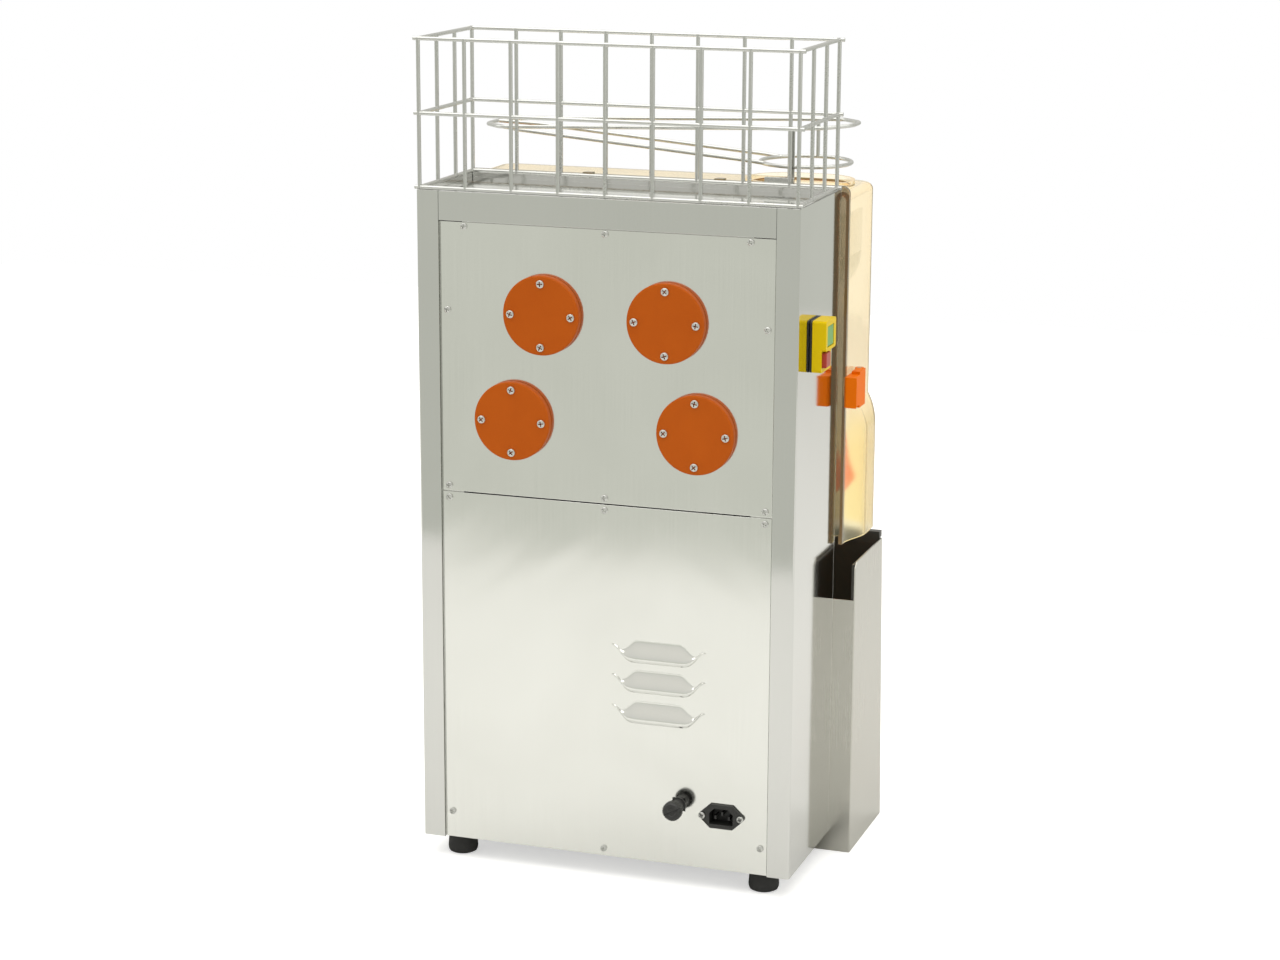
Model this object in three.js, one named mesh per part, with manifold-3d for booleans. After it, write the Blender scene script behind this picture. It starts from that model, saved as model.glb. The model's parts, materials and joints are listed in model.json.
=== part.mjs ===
import * as THREE from 'three';
import { mergeVertices } from 'three/addons/utils/BufferGeometryUtils.js';
import Module from 'manifold-3d';

// Automatic orange juicer, in millimetres: +Z is up, the floor is z = 0 and the front faces -Y.
// Left and right are the user's, standing in front: left is -X.

const wasm = await Module();
wasm.setup();

// Steel body
const bodyDepth = 150;
const bodyHeight = 670;
const footHeight = 22;
const sheet = 1.5;
const frontSheet = 3;
const postWidth = 23;
const railHeight = 29;
const panelRecess = 3;
const landingWidth = 23;
const trayRecess = 5;

// Fits shared by all pieces
const seatGap = 0.3;
const boreGap = 0.7;
const panelGap = 1.2;
const cutOver = 1;

// Juicing drums and their drive
const gearModule = 4;
const upperTeeth = 32;
const pairTeeth = 28;
const pinionTeeth = 14;
const upperShaftDrop = 117;
const pinionSlip = 24;
const shaftRadius = 10;
const sealDepth = 8.5;
const drumGap = 1.5;
const drumWidth = 84;
const cupDrumGap = 1.5;
const cupRadius = 37;
const cupCount = 3;
const coreGap = 3.5;
const ballInset = 0.5;
const peelRoom = 8;
const ballToMiddle = 16;
const ballToSide = 22;

// Hand nuts stand ahead of the drums, and the cover's front clears them
const nutReach = 4;
const nutClear = 2.5;

// Amber cover
const coverSideOut = 7.5;
const coverTopDrop = 3;
const coverWall = 4;
const rimDepth = 6;
const rimRise = 3;

// Juice tray
const traySideIn = 50;
const trayRoom = 12;
const trayHeight = 42;
const splitAboveTray = 18;

// Peel bins
const binHalfSpan = 218.5;
const binInner = 98;
const binAhead = 5.5;
const binFlare = 20;
const binBelowCover = 18;
const binRearDrop = 40;
const binSheet = 1.5;

// Wire basket
const basketSideIn = 3;
const basketFrontIn = 9;
const basketHeight = 145;
const wireRadius = 2;

// Places worked out from the driving sizes
const upperShaftX = gearModule * upperTeeth / 2;
const pairDistance = gearModule * pairTeeth;
const cupDrumRadius = upperShaftX - cupDrumGap;
const ballCoreRadius = pairDistance - cupDrumRadius - coreGap;
const ballCentreRadius = pairDistance - cupDrumRadius + ballInset;
const ballRadius = cupRadius - peelRoom;
const ballSweep = ballCentreRadius + ballRadius;
const lowerShaftOut = ballSweep + ballToMiddle;
const halfWidth = lowerShaftOut + ballSweep + ballToSide;
const rearY = bodyDepth / 2;
const frontY = -rearY;
const baseZ = footHeight;
const topZ = footHeight + bodyHeight;
const frontPlateBack = frontY + frontSheet;
const upperShaftHeight = topZ - upperShaftDrop;
const lowerShaftHeight = upperShaftHeight - Math.sqrt(pairDistance ** 2 - (lowerShaftOut - upperShaftX) ** 2);
const pinionDistance = gearModule * (pairTeeth + pinionTeeth) / 2;
const pinionIn = pinionDistance - pinionSlip;
const pinionX = -(lowerShaftOut - pinionIn);
const pinionHeight = lowerShaftHeight - Math.sqrt(pinionDistance ** 2 - pinionIn ** 2);
const drumBackY = frontY - sealDepth - drumGap;
const drumFrontY = drumBackY - drumWidth;
const drumMidY = (drumBackY + drumFrontY) / 2;
const coverHalfWidth = halfWidth + coverSideOut;
const coverFront = -drumFrontY + nutReach + nutClear + coverWall;
const coverTop = topZ - coverTopDrop;
const trayHalf = halfWidth - traySideIn;
const trayTop = upperShaftHeight - pairDistance - ballSweep - trayRoom;
const coverBottom = trayTop - trayHeight;
const panelSplitHeight = trayTop + splitAboveTray;
const binSideTop = coverBottom - binBelowCover;
const rimTop = topZ + rimRise;
const binTopFront = coverFront + binAhead;
const binFootFront = binTopFront + binFlare;
const binRearTop = binSideTop - binRearDrop;
const basketHalfWidth = halfWidth - basketSideIn;
const basketRear = rearY - wireRadius;
const basketFront = -frontY - basketFrontIn;
const quarterTurn = Math.PI / 2;
const leftSide = -1;
const rightSide = 1;
const bothSides = [leftSide, rightSide];
const shaftPlaces = {
  upper_left: [-upperShaftX, upperShaftHeight],
  upper_right: [upperShaftX, upperShaftHeight],
  lower_left: [-lowerShaftOut, lowerShaftHeight],
  lower_right: [lowerShaftOut, lowerShaftHeight],
};

// Finishes
const finishes = {
  brushedSteel: { color: 0xc9cbc4, roughness: 0.34, metalness: 1 },
  mirrorSteel: { color: 0xd8d9d6, roughness: 0.1, metalness: 1 },
  gearSteel: { color: 0x8d9094, roughness: 0.4, metalness: 1 },
  wireSteel: { color: 0xb4b5b0, roughness: 0.35, metalness: 1 },
  castAlloy: { color: 0xa9abab, roughness: 0.6, metalness: 0.9 },
  motorPaint: { color: 0x3a3f45, roughness: 0.5, metalness: 0.2 },
  orangePlastic: { color: 0xb4520f, roughness: 0.4, metalness: 0 },
  orangeLatch: { color: 0xe0700a, roughness: 0.35, metalness: 0 },
  amber: { color: 0xe8b868, roughness: 0.08, metalness: 0, transparent: true, opacity: 0.45 },
  whitePlastic: { color: 0xeceae2, roughness: 0.45, metalness: 0 },
  blackPlastic: { color: 0x1c1b19, roughness: 0.5, metalness: 0 },
  rubber: { color: 0x191918, roughness: 0.85, metalness: 0 },
  yellow: { color: 0xcdb414, roughness: 0.4, metalness: 0 },
  green: { color: 0x7fae6a, roughness: 0.35, metalness: 0 },
  red: { color: 0x9c3a2c, roughness: 0.35, metalness: 0 },
};
for (const name of Object.keys(finishes)) finishes[name] = new THREE.MeshStandardMaterial(finishes[name]);

// A geometry with shared vertices and its faces turned outwards
function tidy(geometry) {
  const bare = new THREE.BufferGeometry();
  bare.setAttribute('position', geometry.attributes.position.clone());
  if (geometry.index) bare.setIndex(geometry.index.clone());
  const merged = mergeVertices(bare);
  const at = merged.attributes.position;
  const order = merged.index.array;
  const kept = [];
  for (let i = 0; i < order.length; i += 3) {
    const [a, b, c] = [order[i], order[i + 1], order[i + 2]];
    if (a !== b && b !== c && c !== a) kept.push(a, b, c);
  }
  const corner = [0, 1, 2].map(() => new THREE.Vector3());
  let volume = 0;
  for (let i = 0; i < kept.length; i += 3) {
    corner.forEach((point, j) => point.fromBufferAttribute(at, kept[i + j]));
    volume += corner[0].dot(corner[1].cross(corner[2]));
  }
  if (volume < 0) kept.reverse();
  merged.setIndex(kept);
  return merged;
}

function toSolid(geometry) {
  const clean = tidy(geometry);
  const vertProperties = new Float32Array(clean.attributes.position.array);
  const triVerts = new Uint32Array(clean.index.array);
  return new wasm.Manifold(new wasm.Mesh({ numProp: 3, vertProperties, triVerts }));
}

function toGeometry(body) {
  const mesh = body.getMesh();
  const geometry = new THREE.BufferGeometry();
  geometry.setAttribute('position', new THREE.BufferAttribute(new Float32Array(mesh.vertProperties), 3));
  geometry.setIndex(new THREE.BufferAttribute(new Uint32Array(mesh.triVerts), 1));
  return geometry;
}

function join(...parts) {
  return toGeometry(parts.map(toSolid).reduce((whole, part) => whole.add(part)));
}

function cut(base, ...tools) {
  return toGeometry(tools.map(toSolid).reduce((whole, tool) => whole.subtract(tool), toSolid(base)));
}

function common(first, second) {
  return toGeometry(toSolid(first).intersect(toSolid(second)));
}

// Basic solids, placed by their limits
function block([x0, x1], [y0, y1], [z0, z1]) {
  const geometry = new THREE.BoxGeometry(x1 - x0, y1 - y0, z1 - z0);
  return geometry.translate((x0 + x1) / 2, (y0 + y1) / 2, (z0 + z1) / 2);
}

function rodY(radius, [y0, y1], x, z, sides) {
  return new THREE.CylinderGeometry(radius, radius, y1 - y0, sides).translate(x, (y0 + y1) / 2, z);
}

function rodZ(radius, [z0, z1], x, y, sides) {
  const geometry = new THREE.CylinderGeometry(radius, radius, z1 - z0, sides);
  return geometry.rotateX(quarterTurn).translate(x, y, (z0 + z1) / 2);
}

function rodX(radius, [x0, x1], y, z, sides) {
  const geometry = new THREE.CylinderGeometry(radius, radius, x1 - x0, sides);
  return geometry.rotateZ(quarterTurn).translate((x0 + x1) / 2, y, z);
}

// Turned solids: profile points are [radius, place along the axis]
function turnedY(profile, x, z, sides) {
  const points = profile.map(([radius, along]) => new THREE.Vector2(radius, along));
  return new THREE.LatheGeometry(points, sides).translate(x, 0, z);
}

function turnedZ(profile, x, y, sides) {
  const points = profile.map(([radius, along]) => new THREE.Vector2(radius, along));
  return new THREE.LatheGeometry(points, sides).rotateX(quarterTurn).translate(x, y, 0);
}

// Outlines and what is extruded from them
function outline(points) {
  return new THREE.Shape(points.map(([a, b]) => new THREE.Vector2(a, b)));
}

function roundedOutline([a0, a1], [b0, b1], radius) {
  const shape = new THREE.Shape();
  shape.moveTo(a0 + radius, b0).lineTo(a1 - radius, b0);
  shape.absarc(a1 - radius, b0 + radius, radius, -quarterTurn, 0, false);
  shape.lineTo(a1, b1 - radius).absarc(a1 - radius, b1 - radius, radius, 0, quarterTurn, false);
  shape.lineTo(a0 + radius, b1).absarc(a0 + radius, b1 - radius, radius, quarterTurn, 2 * quarterTurn, false);
  shape.lineTo(a0, b0 + radius).absarc(a0 + radius, b0 + radius, radius, 2 * quarterTurn, 3 * quarterTurn, false);
  return shape;
}

function alongY(shape, [y0, y1], curveSegments = 2) {
  const geometry = new THREE.ExtrudeGeometry(shape, { depth: y1 - y0, bevelEnabled: false, curveSegments });
  return geometry.rotateX(quarterTurn).translate(0, y1, 0);
}

function alongZ(shape, [z0, z1], curveSegments = 2) {
  const geometry = new THREE.ExtrudeGeometry(shape, { depth: z1 - z0, bevelEnabled: false, curveSegments });
  return geometry.translate(0, 0, z0);
}

function alongX(shape, [x0, x1], curveSegments = 2) {
  const geometry = new THREE.ExtrudeGeometry(shape, { depth: x1 - x0, bevelEnabled: false, curveSegments });
  return geometry.rotateX(quarterTurn).rotateZ(quarterTurn).translate(x0, 0, 0);
}

// Folded sheet metal: the outer face's fold points, thickened to the left of the path
function foldedSheet(path, thickness) {
  const points = path.map(([a, b]) => new THREE.Vector2(a, b));
  const normals = points.slice(1).map((point, i) => {
    const run = point.clone().sub(points[i]).normalize();
    return new THREE.Vector2(-run.y, run.x);
  });
  const inner = points.map((point, i) => {
    const before = normals[Math.max(i - 1, 0)];
    const after = normals[Math.min(i, normals.length - 1)];
    const mitre = before.clone().add(after);
    return point.clone().addScaledVector(mitre, thickness / (1 + before.dot(after)));
  });
  return new THREE.Shape([...points, ...inner.reverse()]);
}

function mirrored(geometry) {
  return tidy(geometry.clone().scale(-1, 1, 1));
}

function sided(geometry, side) {
  return side === rightSide ? geometry : mirrored(geometry);
}

// Bent wire: straight runs with a rounded bend at each inner point
class BentWire extends THREE.Curve {
  constructor(points) {
    super();
    this.points = points;
  }

  getPoint(share, target = new THREE.Vector3()) {
    const last = this.points.length - 1;
    const along = Math.min(Math.max(share, 0), 1) * last;
    const index = Math.min(Math.floor(along), last - 1);
    return target.lerpVectors(this.points[index], this.points[index + 1], along - index);
  }

  getUtoTmapping(share) {
    return share;
  }
}

function bent(corners, bendReach, bendSteps) {
  const points = corners.map((corner) => new THREE.Vector3(...corner));
  const path = [points[0]];
  for (let i = 1; i < points.length - 1; i += 1) {
    const before = points[i].clone().add(points[i - 1].clone().sub(points[i]).setLength(bendReach));
    const after = points[i].clone().add(points[i + 1].clone().sub(points[i]).setLength(bendReach));
    path.push(...new THREE.QuadraticBezierCurve3(before, points[i], after).getPoints(bendSteps));
  }
  path.push(points[points.length - 1]);
  return path;
}

function wire(points, radius, sides) {
  const section = new THREE.Shape();
  for (let i = 0; i < sides; i += 1) {
    const turn = 2 * Math.PI * i / sides;
    const place = [radius * Math.cos(turn), radius * Math.sin(turn)];
    if (i === 0) section.moveTo(...place);
    else section.lineTo(...place);
  }
  const extrudePath = new BentWire(points);
  return new THREE.ExtrudeGeometry(section, { steps: points.length - 1, extrudePath });
}

// Rings of equal length, one above the other, closed at both ends
function loft(rings) {
  const count = rings[0].length;
  const positions = rings.flat(2);
  const index = [];
  for (let level = 0; level < rings.length - 1; level += 1) {
    for (let i = 0; i < count; i += 1) {
      const a = level * count + i;
      const b = level * count + (i + 1) % count;
      index.push(a, b, b + count, a, b + count, a + count);
    }
  }
  const ends = [[0, true], [rings.length - 1, false]];
  for (const [level, flipped] of ends) {
    const flat = rings[level].map(([x, y]) => new THREE.Vector2(x, y));
    for (const face of THREE.ShapeUtils.triangulateShape(flat, [])) {
      const corners = face.map((corner) => corner + level * count);
      index.push(...(flipped ? corners.reverse() : corners));
    }
  }
  const geometry = new THREE.BufferGeometry();
  geometry.setAttribute('position', new THREE.Float32BufferAttribute(positions, 3));
  geometry.setIndex(index);
  return geometry;
}

const juicer = new THREE.Group();

function add(name, geometry, finish) {
  const mesh = new THREE.Mesh(tidy(geometry), finishes[finish]);
  mesh.name = name;
  juicer.add(mesh);
}

// Side panels: each is one folded sheet with the rear post and the landing for the rear panels
const frontFlange = 16;
const cornerNotch = 20;
const landingFace = rearY - panelRecess - sheet - seatGap;
function sidePanel() {
  const path = [
    [halfWidth - frontFlange, frontPlateBack + seatGap],
    [halfWidth, frontPlateBack + seatGap],
    [halfWidth, rearY],
    [halfWidth - postWidth, rearY],
    [halfWidth - postWidth, landingFace],
    [halfWidth - postWidth - landingWidth, landingFace],
  ];
  const notchTop = topZ + cutOver;
  const frontNotch = block(
    [halfWidth - frontFlange - cutOver, halfWidth - sheet],
    [frontPlateBack, frontPlateBack + frontFlange],
    [topZ - cornerNotch, notchTop],
  );
  const rearNotch = block(
    [halfWidth - postWidth - landingWidth - cutOver, halfWidth - postWidth],
    [landingFace - sheet - cutOver, rearY],
    [topZ - railHeight - panelGap, notchTop],
  );
  return cut(alongZ(foldedSheet(path, sheet), [baseZ, topZ]), frontNotch, rearNotch);
}
for (const side of bothSides) {
  add(side === leftSide ? 'side_panel_left' : 'side_panel_right', sided(sidePanel(), side), 'mirrorSteel');
}

// Top panel: a shallow tray folded down at the front and into the rear rail
const trayZ = topZ - trayRecess;
const trayHalfWidth = halfWidth - sheet - seatGap;
const railHalfWidth = halfWidth - postWidth - seatGap;
const rimChannel = 0.5;
const rimWidth = 2 * sheet + rimChannel;
const trayFrontDrop = 18;
const slotLength = 20;
const slotWidth = 2;
const slotFromCentre = 155;
function topPanel() {
  const rearRim = rearY - sheet - seatGap;
  const frontRim = frontPlateBack + seatGap;
  const trayPath = [
    [rearRim, topZ],
    [rearRim - rimWidth, topZ],
    [rearRim - rimWidth, trayZ],
    [frontRim + rimWidth, trayZ],
    [frontRim + rimWidth, topZ],
    [frontRim, topZ],
    [frontRim, topZ - trayFrontDrop],
  ];
  const landingBack = halfWidth - postWidth - landingWidth - seatGap;
  const railPath = [
    [landingFace - sheet, topZ - railHeight - landingWidth],
    [landingFace - sheet, topZ - railHeight + sheet],
    [rearY - sheet, topZ - railHeight + sheet],
    [rearY - sheet, topZ - sheet],
    [rearRim - rimWidth, topZ - sheet],
  ];
  const tray = alongX(foldedSheet(trayPath, sheet), [-trayHalfWidth, trayHalfWidth]);
  const postClear = postRoom();
  const rail = alongX(foldedSheet(railPath, -sheet), [-railHalfWidth, railHalfWidth]);
  const lowLanding = [topZ - railHeight - landingWidth - cutOver, topZ - railHeight - cutOver / 2];
  const ends = bothSides.map((side) => sided(block(
    [landingBack, railHalfWidth + cutOver],
    [landingFace - 2 * sheet, landingFace + cutOver],
    lowLanding,
  ), side));
  const slot = block(
    [-slotFromCentre - slotLength, -slotFromCentre],
    [rearY - slotWidth - sheet, rearY - sheet],
    [topZ - 2 * sheet, topZ + cutOver],
  );
  return cut(join(cut(tray, ...postClear), cut(rail, ...ends)), slot);
}

// The tray's rear rim stops short of the posts' folded corners
function postRoom() {
  return bothSides.map((side) => sided(block(
    [halfWidth - postWidth - seatGap, halfWidth],
    [landingFace - sheet - seatGap, rearY],
    [trayZ - 2 * sheet, topZ + cutOver],
  ), side));
}
add('top_panel', topPanel(), 'mirrorSteel');

// Base pan between the side panels
const panHeight = 40;
const panSheet = 2;
function basePlate() {
  const inside = halfWidth - sheet - seatGap;
  const rearFace = landingFace - sheet - seatGap;
  const frontFace = frontPlateBack + sheet + 2 * seatGap;
  const outer = block([-inside, inside], [frontFace, rearFace], [baseZ, baseZ + panHeight]);
  const hollow = block(
    [-inside + panSheet, inside - panSheet],
    [frontFace + panSheet, rearFace - panSheet],
    [baseZ + panSheet, baseZ + panHeight + cutOver],
  );
  return cut(outer, hollow);
}
add('base_plate', basePlate(), 'brushedSteel');

// Feet: rubber, screwed under the base pan
const footRadius = 15.5;
const footTaper = 2.5;
const footSides = 12;
const footSideIn = 33;
const footEndIn = 25;
const footOut = halfWidth - footSideIn;
const footBack = rearY - footEndIn;
function foot(x, y) {
  const top = baseZ - seatGap;
  return turnedZ([[0, 0], [footRadius - footTaper, 0], [footRadius, footTaper], [footRadius - footTaper, top], [0, top]],
    x, y, footSides);
}
for (const side of bothSides) {
  const hand = side === leftSide ? 'left' : 'right';
  add(`foot_front_${hand}`, foot(side * footOut, -footBack), 'rubber');
  add(`foot_rear_${hand}`, foot(side * footOut, footBack), 'rubber');
}

// Front plate: shaft bosses with their bearings and seals, two tray rails and the feed guide, all welded on
const bearingRadius = 21;
const bearingWidth = 12;
const bearingSides = 12;
const shaftSides = 12;
const bossDepth = 17;
const bossFlangeRadius = 38;
const bossFlange = 5;
const sealRadius = 19;
const sealLip = 14;
const sealFlange = 3;
const trayRailIn = 26;
const trayRailOut = trayHalf - trayRailIn;
const trayRailWidth = 12;
const trayRailReach = 90;
const trayFloor = coverBottom;
const roundSides = 18;
function shaftBoss(x, z) {
  const end = frontPlateBack + bossDepth;
  return turnedY([
    [0, frontY - sealDepth], [sealLip, frontY - sealDepth], [sealRadius, frontY - sealFlange],
    [sealRadius, frontPlateBack], [bossFlangeRadius, frontPlateBack], [bossFlangeRadius, frontPlateBack + bossFlange],
    [bearingRadius, frontPlateBack + bossFlange], [bearingRadius, end], [0, end],
  ], x, z, bearingSides);
}
function shaftBore(x, z, [y0, y1]) {
  return rodY(shaftRadius + boreGap, [y0 - cutOver, y1 + cutOver], x, z, shaftSides);
}
function trayRail() {
  const inner = trayRailOut - trayRailWidth;
  const seat = trayFloor - seatGap;
  const path = [[trayRailOut, trayFloor - trayRailWidth], [trayRailOut, seat], [inner, seat]];
  return alongY(foldedSheet(path, sheet), [frontY - trayRailReach, frontY + cutOver]);
}

// Feed guide: a curved sheet under the feed mouth that holds an orange against the left cup drum
const guideSideIn = 6;
const guideToDrum = 5.6783;
const guideAboveShaft = 43;
const guideEndAngle = 1.55 * Math.PI;
const guideSteps = 6;
const guideTopDrop = 27;
const guideSheet = 2;
const guideRadius = (halfWidth - guideSideIn - upperShaftX - cupDrumRadius - guideToDrum)
  / (1 + Math.cos(guideEndAngle));
const guideX = -halfWidth + guideSideIn + guideRadius;
const guideZ = upperShaftHeight + guideAboveShaft;
function feedGuide() {
  const path = [[guideX - guideRadius, coverTop - guideTopDrop]];
  for (let i = 0; i <= guideSteps; i += 1) {
    const angle = Math.PI + (guideEndAngle - Math.PI) * i / guideSteps;
    path.push([guideX + guideRadius * Math.cos(angle), guideZ + guideRadius * Math.sin(angle)]);
  }
  return alongY(foldedSheet(path, guideSheet), [drumFrontY, frontY + cutOver]);
}
function frontPlate() {
  const plate = block([-halfWidth, halfWidth], [frontY, frontPlateBack], [baseZ, topZ]);
  const bosses = Object.values(shaftPlaces).map(([x, z]) => shaftBoss(x, z));
  const rails = bothSides.map((side) => sided(trayRail(), side));
  const bores = Object.values(shaftPlaces).map(([x, z]) => shaftBore(x, z,
    [frontY - sealDepth, frontPlateBack + bossDepth]));
  return cut(join(plate, ...bosses, ...rails, feedGuide()), ...bores);
}
add('front_plate', frontPlate(), 'brushedSteel');

// Pan-head screws: each is modelled with the piece that it holds
const screwHeadHeight = 2.4;
const screwCrownShare = 0.6;
const screwSides = 6;
const screwSink = 0.5;
function panHead(x, z, seat, radius) {
  return turnedY([
    [0, seat - screwSink], [radius, seat - screwSink], [radius, seat + screwHeadHeight / 2],
    [radius * screwCrownShare, seat + screwHeadHeight], [0, seat + screwHeadHeight],
  ], x, z, screwSides);
}

// Rear panels
const panelScrewRadius = 3.2;
const panelScrewIn = 8;
const topScrewOut = 147;
const topScrewDrop = 5;
const sideScrewDrop = 1;
const sideScrewHeight = upperShaftHeight - sideScrewDrop;
const splitScrewOff = 5.5;
const bottomScrewHeight = 50;
const bottomMiddleScrew = 30;
const panelBack = landingFace + seatGap;
const panelFace = panelBack + sheet;
const panelHalfWidth = halfWidth - postWidth - panelGap;
const sideScrewOut = halfWidth - postWidth - panelScrewIn;
const capRadius = 39.5;
const shaftWindowRadius = 27;
const windowSides = 12;
const inletSideIn = 71.3;
const inletX = -halfWidth + inletSideIn;
const inletAbovePan = 17;
const inletHeight = baseZ + panHeight + inletAbovePan;
const fuseFromInlet = 45;
const fuseX = inletX + fuseFromInlet;
const fuseAboveInlet = 7.5;
const fuseHeight = inletHeight + fuseAboveInlet;
function rearPanelUpper() {
  const top = topZ - railHeight - panelGap;
  const plate = block([-panelHalfWidth, panelHalfWidth], [panelBack, panelFace], [panelSplitHeight, top]);
  const windows = Object.values(shaftPlaces).map(([x, z]) => rodY(shaftWindowRadius,
    [panelBack - cutOver, panelFace + cutOver], x, z, windowSides));
  const screws = [[0, top - topScrewDrop + panelGap], [0, panelSplitHeight + splitScrewOff]];
  for (const side of bothSides) {
    screws.push([side * topScrewOut, top - topScrewDrop + panelGap], [side * sideScrewOut, sideScrewHeight]);
    screws.push([side * sideScrewOut, panelSplitHeight + splitScrewOff]);
  }
  return join(cut(plate, ...windows), ...screws.map(([x, z]) => panHead(x, z, panelFace, panelScrewRadius)));
}
add('rear_panel_upper', rearPanelUpper(), 'brushedSteel');

// Pressed louvre: an outward hood, open at its lower lip
const louvreX = -57;
const louvreHalfLength = 48;
const louvreRise = 21;
const louvreReach = 7.5;
const louvreHeights = [231, 200, 168];
const louvreSides = 14;
const louvreRings = 4;
function louvreDome(z, inset) {
  const dome = new THREE.SphereGeometry(1, louvreSides, louvreRings);
  dome.scale(louvreHalfLength - inset, louvreReach - inset, louvreRise - inset);
  dome.translate(louvreX, panelFace, z);
  return dome;
}
function rearPanelLower() {
  const upperEdge = panelSplitHeight - panelGap;
  const plate = block([-panelHalfWidth, panelHalfWidth], [panelBack, panelFace], [baseZ, upperEdge]);
  const above = (z) => block(
    [louvreX - louvreHalfLength - cutOver, louvreX + louvreHalfLength + cutOver],
    [panelBack, panelFace + louvreReach + cutOver],
    [z, z + louvreRise + cutOver],
  );
  const hoods = louvreHeights.map((z) => common(louvreDome(z, 0), above(z)));
  const mouths = louvreHeights.map((z) => common(louvreDome(z, sheet), block(
    [louvreX - louvreHalfLength, louvreX + louvreHalfLength],
    [panelBack - cutOver, panelFace + louvreReach],
    [z - cutOver, z + louvreRise],
  )));
  const inletHole = block(
    [inletX - inletBodyWidth / 2 - seatGap, inletX + inletBodyWidth / 2 + seatGap],
    [panelBack - cutOver, panelFace + cutOver],
    [inletHeight - inletBodyHeight / 2 - seatGap, inletHeight + inletBodyHeight / 2 + seatGap],
  );
  const fuseHole = rodY(fuseBodyRadius + seatGap, [panelBack - cutOver, panelFace + cutOver], fuseX, fuseHeight,
    roundSides);
  const screws = [[0, bottomMiddleScrew], [0, upperEdge - splitScrewOff]];
  for (const side of bothSides) {
    screws.push([side * sideScrewOut, bottomScrewHeight], [side * sideScrewOut, upperEdge - splitScrewOff]);
  }
  const heads = screws.map(([x, z]) => panHead(x, z, panelFace, panelScrewRadius));
  return join(cut(join(plate, ...hoods), ...mouths, inletHole, fuseHole), ...heads);
}

// Power inlet: the standard three-pin appliance socket with its two screw ears
const inletTip = 25;
const inletFlat = 11.7;
const inletHalfHeight = 12.5;
const inletFlange = 2.5;
const inletBodyWidth = 27.5;
const inletBodyHeight = 19.8;
const inletBodyDepth = 20;
const inletRecessWidth = 24.5;
const inletRecessHeight = 16.5;
const inletRecessDepth = 15;
const inletRecessChamfer = 5;
const inletPinWidth = 4;
const inletPinThick = 2;
const inletPinSpacing = 7;
const inletPinRise = 2;
const inletPinShort = 4;
const inletScrewPitch = 40;
function powerInlet() {
  const face = panelFace + seatGap;
  const front = face + inletFlange;
  const ears = outline([
    [inletX - inletTip, inletHeight], [inletX - inletFlat, inletHeight - inletHalfHeight],
    [inletX + inletFlat, inletHeight - inletHalfHeight], [inletX + inletTip, inletHeight],
    [inletX + inletFlat, inletHeight + inletHalfHeight], [inletX - inletFlat, inletHeight + inletHalfHeight],
  ]);
  const body = block(
    [inletX - inletBodyWidth / 2, inletX + inletBodyWidth / 2],
    [face - inletBodyDepth, face + cutOver],
    [inletHeight - inletBodyHeight / 2, inletHeight + inletBodyHeight / 2],
  );
  const side = inletRecessWidth / 2;
  const top = inletRecessHeight / 2;
  const recess = outline([
    [inletX - side, inletHeight - top], [inletX + side, inletHeight - top],
    [inletX + side, inletHeight + top - inletRecessChamfer],
    [inletX + side - inletRecessChamfer, inletHeight + top],
    [inletX - side + inletRecessChamfer, inletHeight + top],
    [inletX - side, inletHeight + top - inletRecessChamfer],
  ]);
  const hollow = cut(join(alongY(ears, [face, front]), body),
    alongY(recess, [front - inletRecessDepth, front + cutOver]));
  const pins = [-1, 0, 1].map((place) => {
    const x = inletX + place * inletPinSpacing;
    const z = inletHeight - inletPinRise + (place === 0 ? 2 * inletPinRise : 0);
    return block(
      [x - inletPinThick / 2, x + inletPinThick / 2],
      [front - inletRecessDepth - cutOver, front - inletPinShort],
      [z - inletPinWidth / 2, z + inletPinWidth / 2],
    );
  });
  const heads = bothSides.map((hand) => panHead(inletX + hand * inletScrewPitch / 2, inletHeight, front,
    panelScrewRadius));
  return join(hollow, ...pins, ...heads);
}

// Fuse holder with its screw-in cap
const fuseBodyRadius = 6.5;
const fuseCollarRadius = 8;
const fuseCollar = 2.5;
const fuseBodyReach = 16;
const fuseBodyBehind = 24;
const fuseCapRadius = 10;
const fuseCapLength = 9;
const fuseCapEdge = 1;
const fuseSides = 12;
function fuseHolder() {
  const face = panelFace + seatGap;
  return turnedY([
    [0, face - fuseBodyBehind], [fuseBodyRadius, face - fuseBodyBehind], [fuseBodyRadius, face],
    [fuseCollarRadius, face], [fuseCollarRadius, face + fuseCollar], [fuseBodyRadius, face + fuseCollar],
    [fuseBodyRadius, face + fuseBodyReach], [0, face + fuseBodyReach],
  ], fuseX, fuseHeight, fuseSides);
}
function fuseCap() {
  const start = panelFace + fuseBodyReach + 2 * seatGap;
  const end = start + fuseCapLength;
  return turnedY([
    [0, start], [fuseCapRadius, start], [fuseCapRadius, end - fuseCapEdge],
    [fuseCapRadius - fuseCapEdge, end], [0, end],
  ], fuseX, fuseHeight, fuseSides);
}
add('rear_panel_lower', rearPanelLower(), 'brushedSteel');
add('power_inlet', powerInlet(), 'blackPlastic');
add('fuse_holder', fuseHolder(), 'blackPlastic');
add('fuse_cap', fuseCap(), 'blackPlastic');

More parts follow.
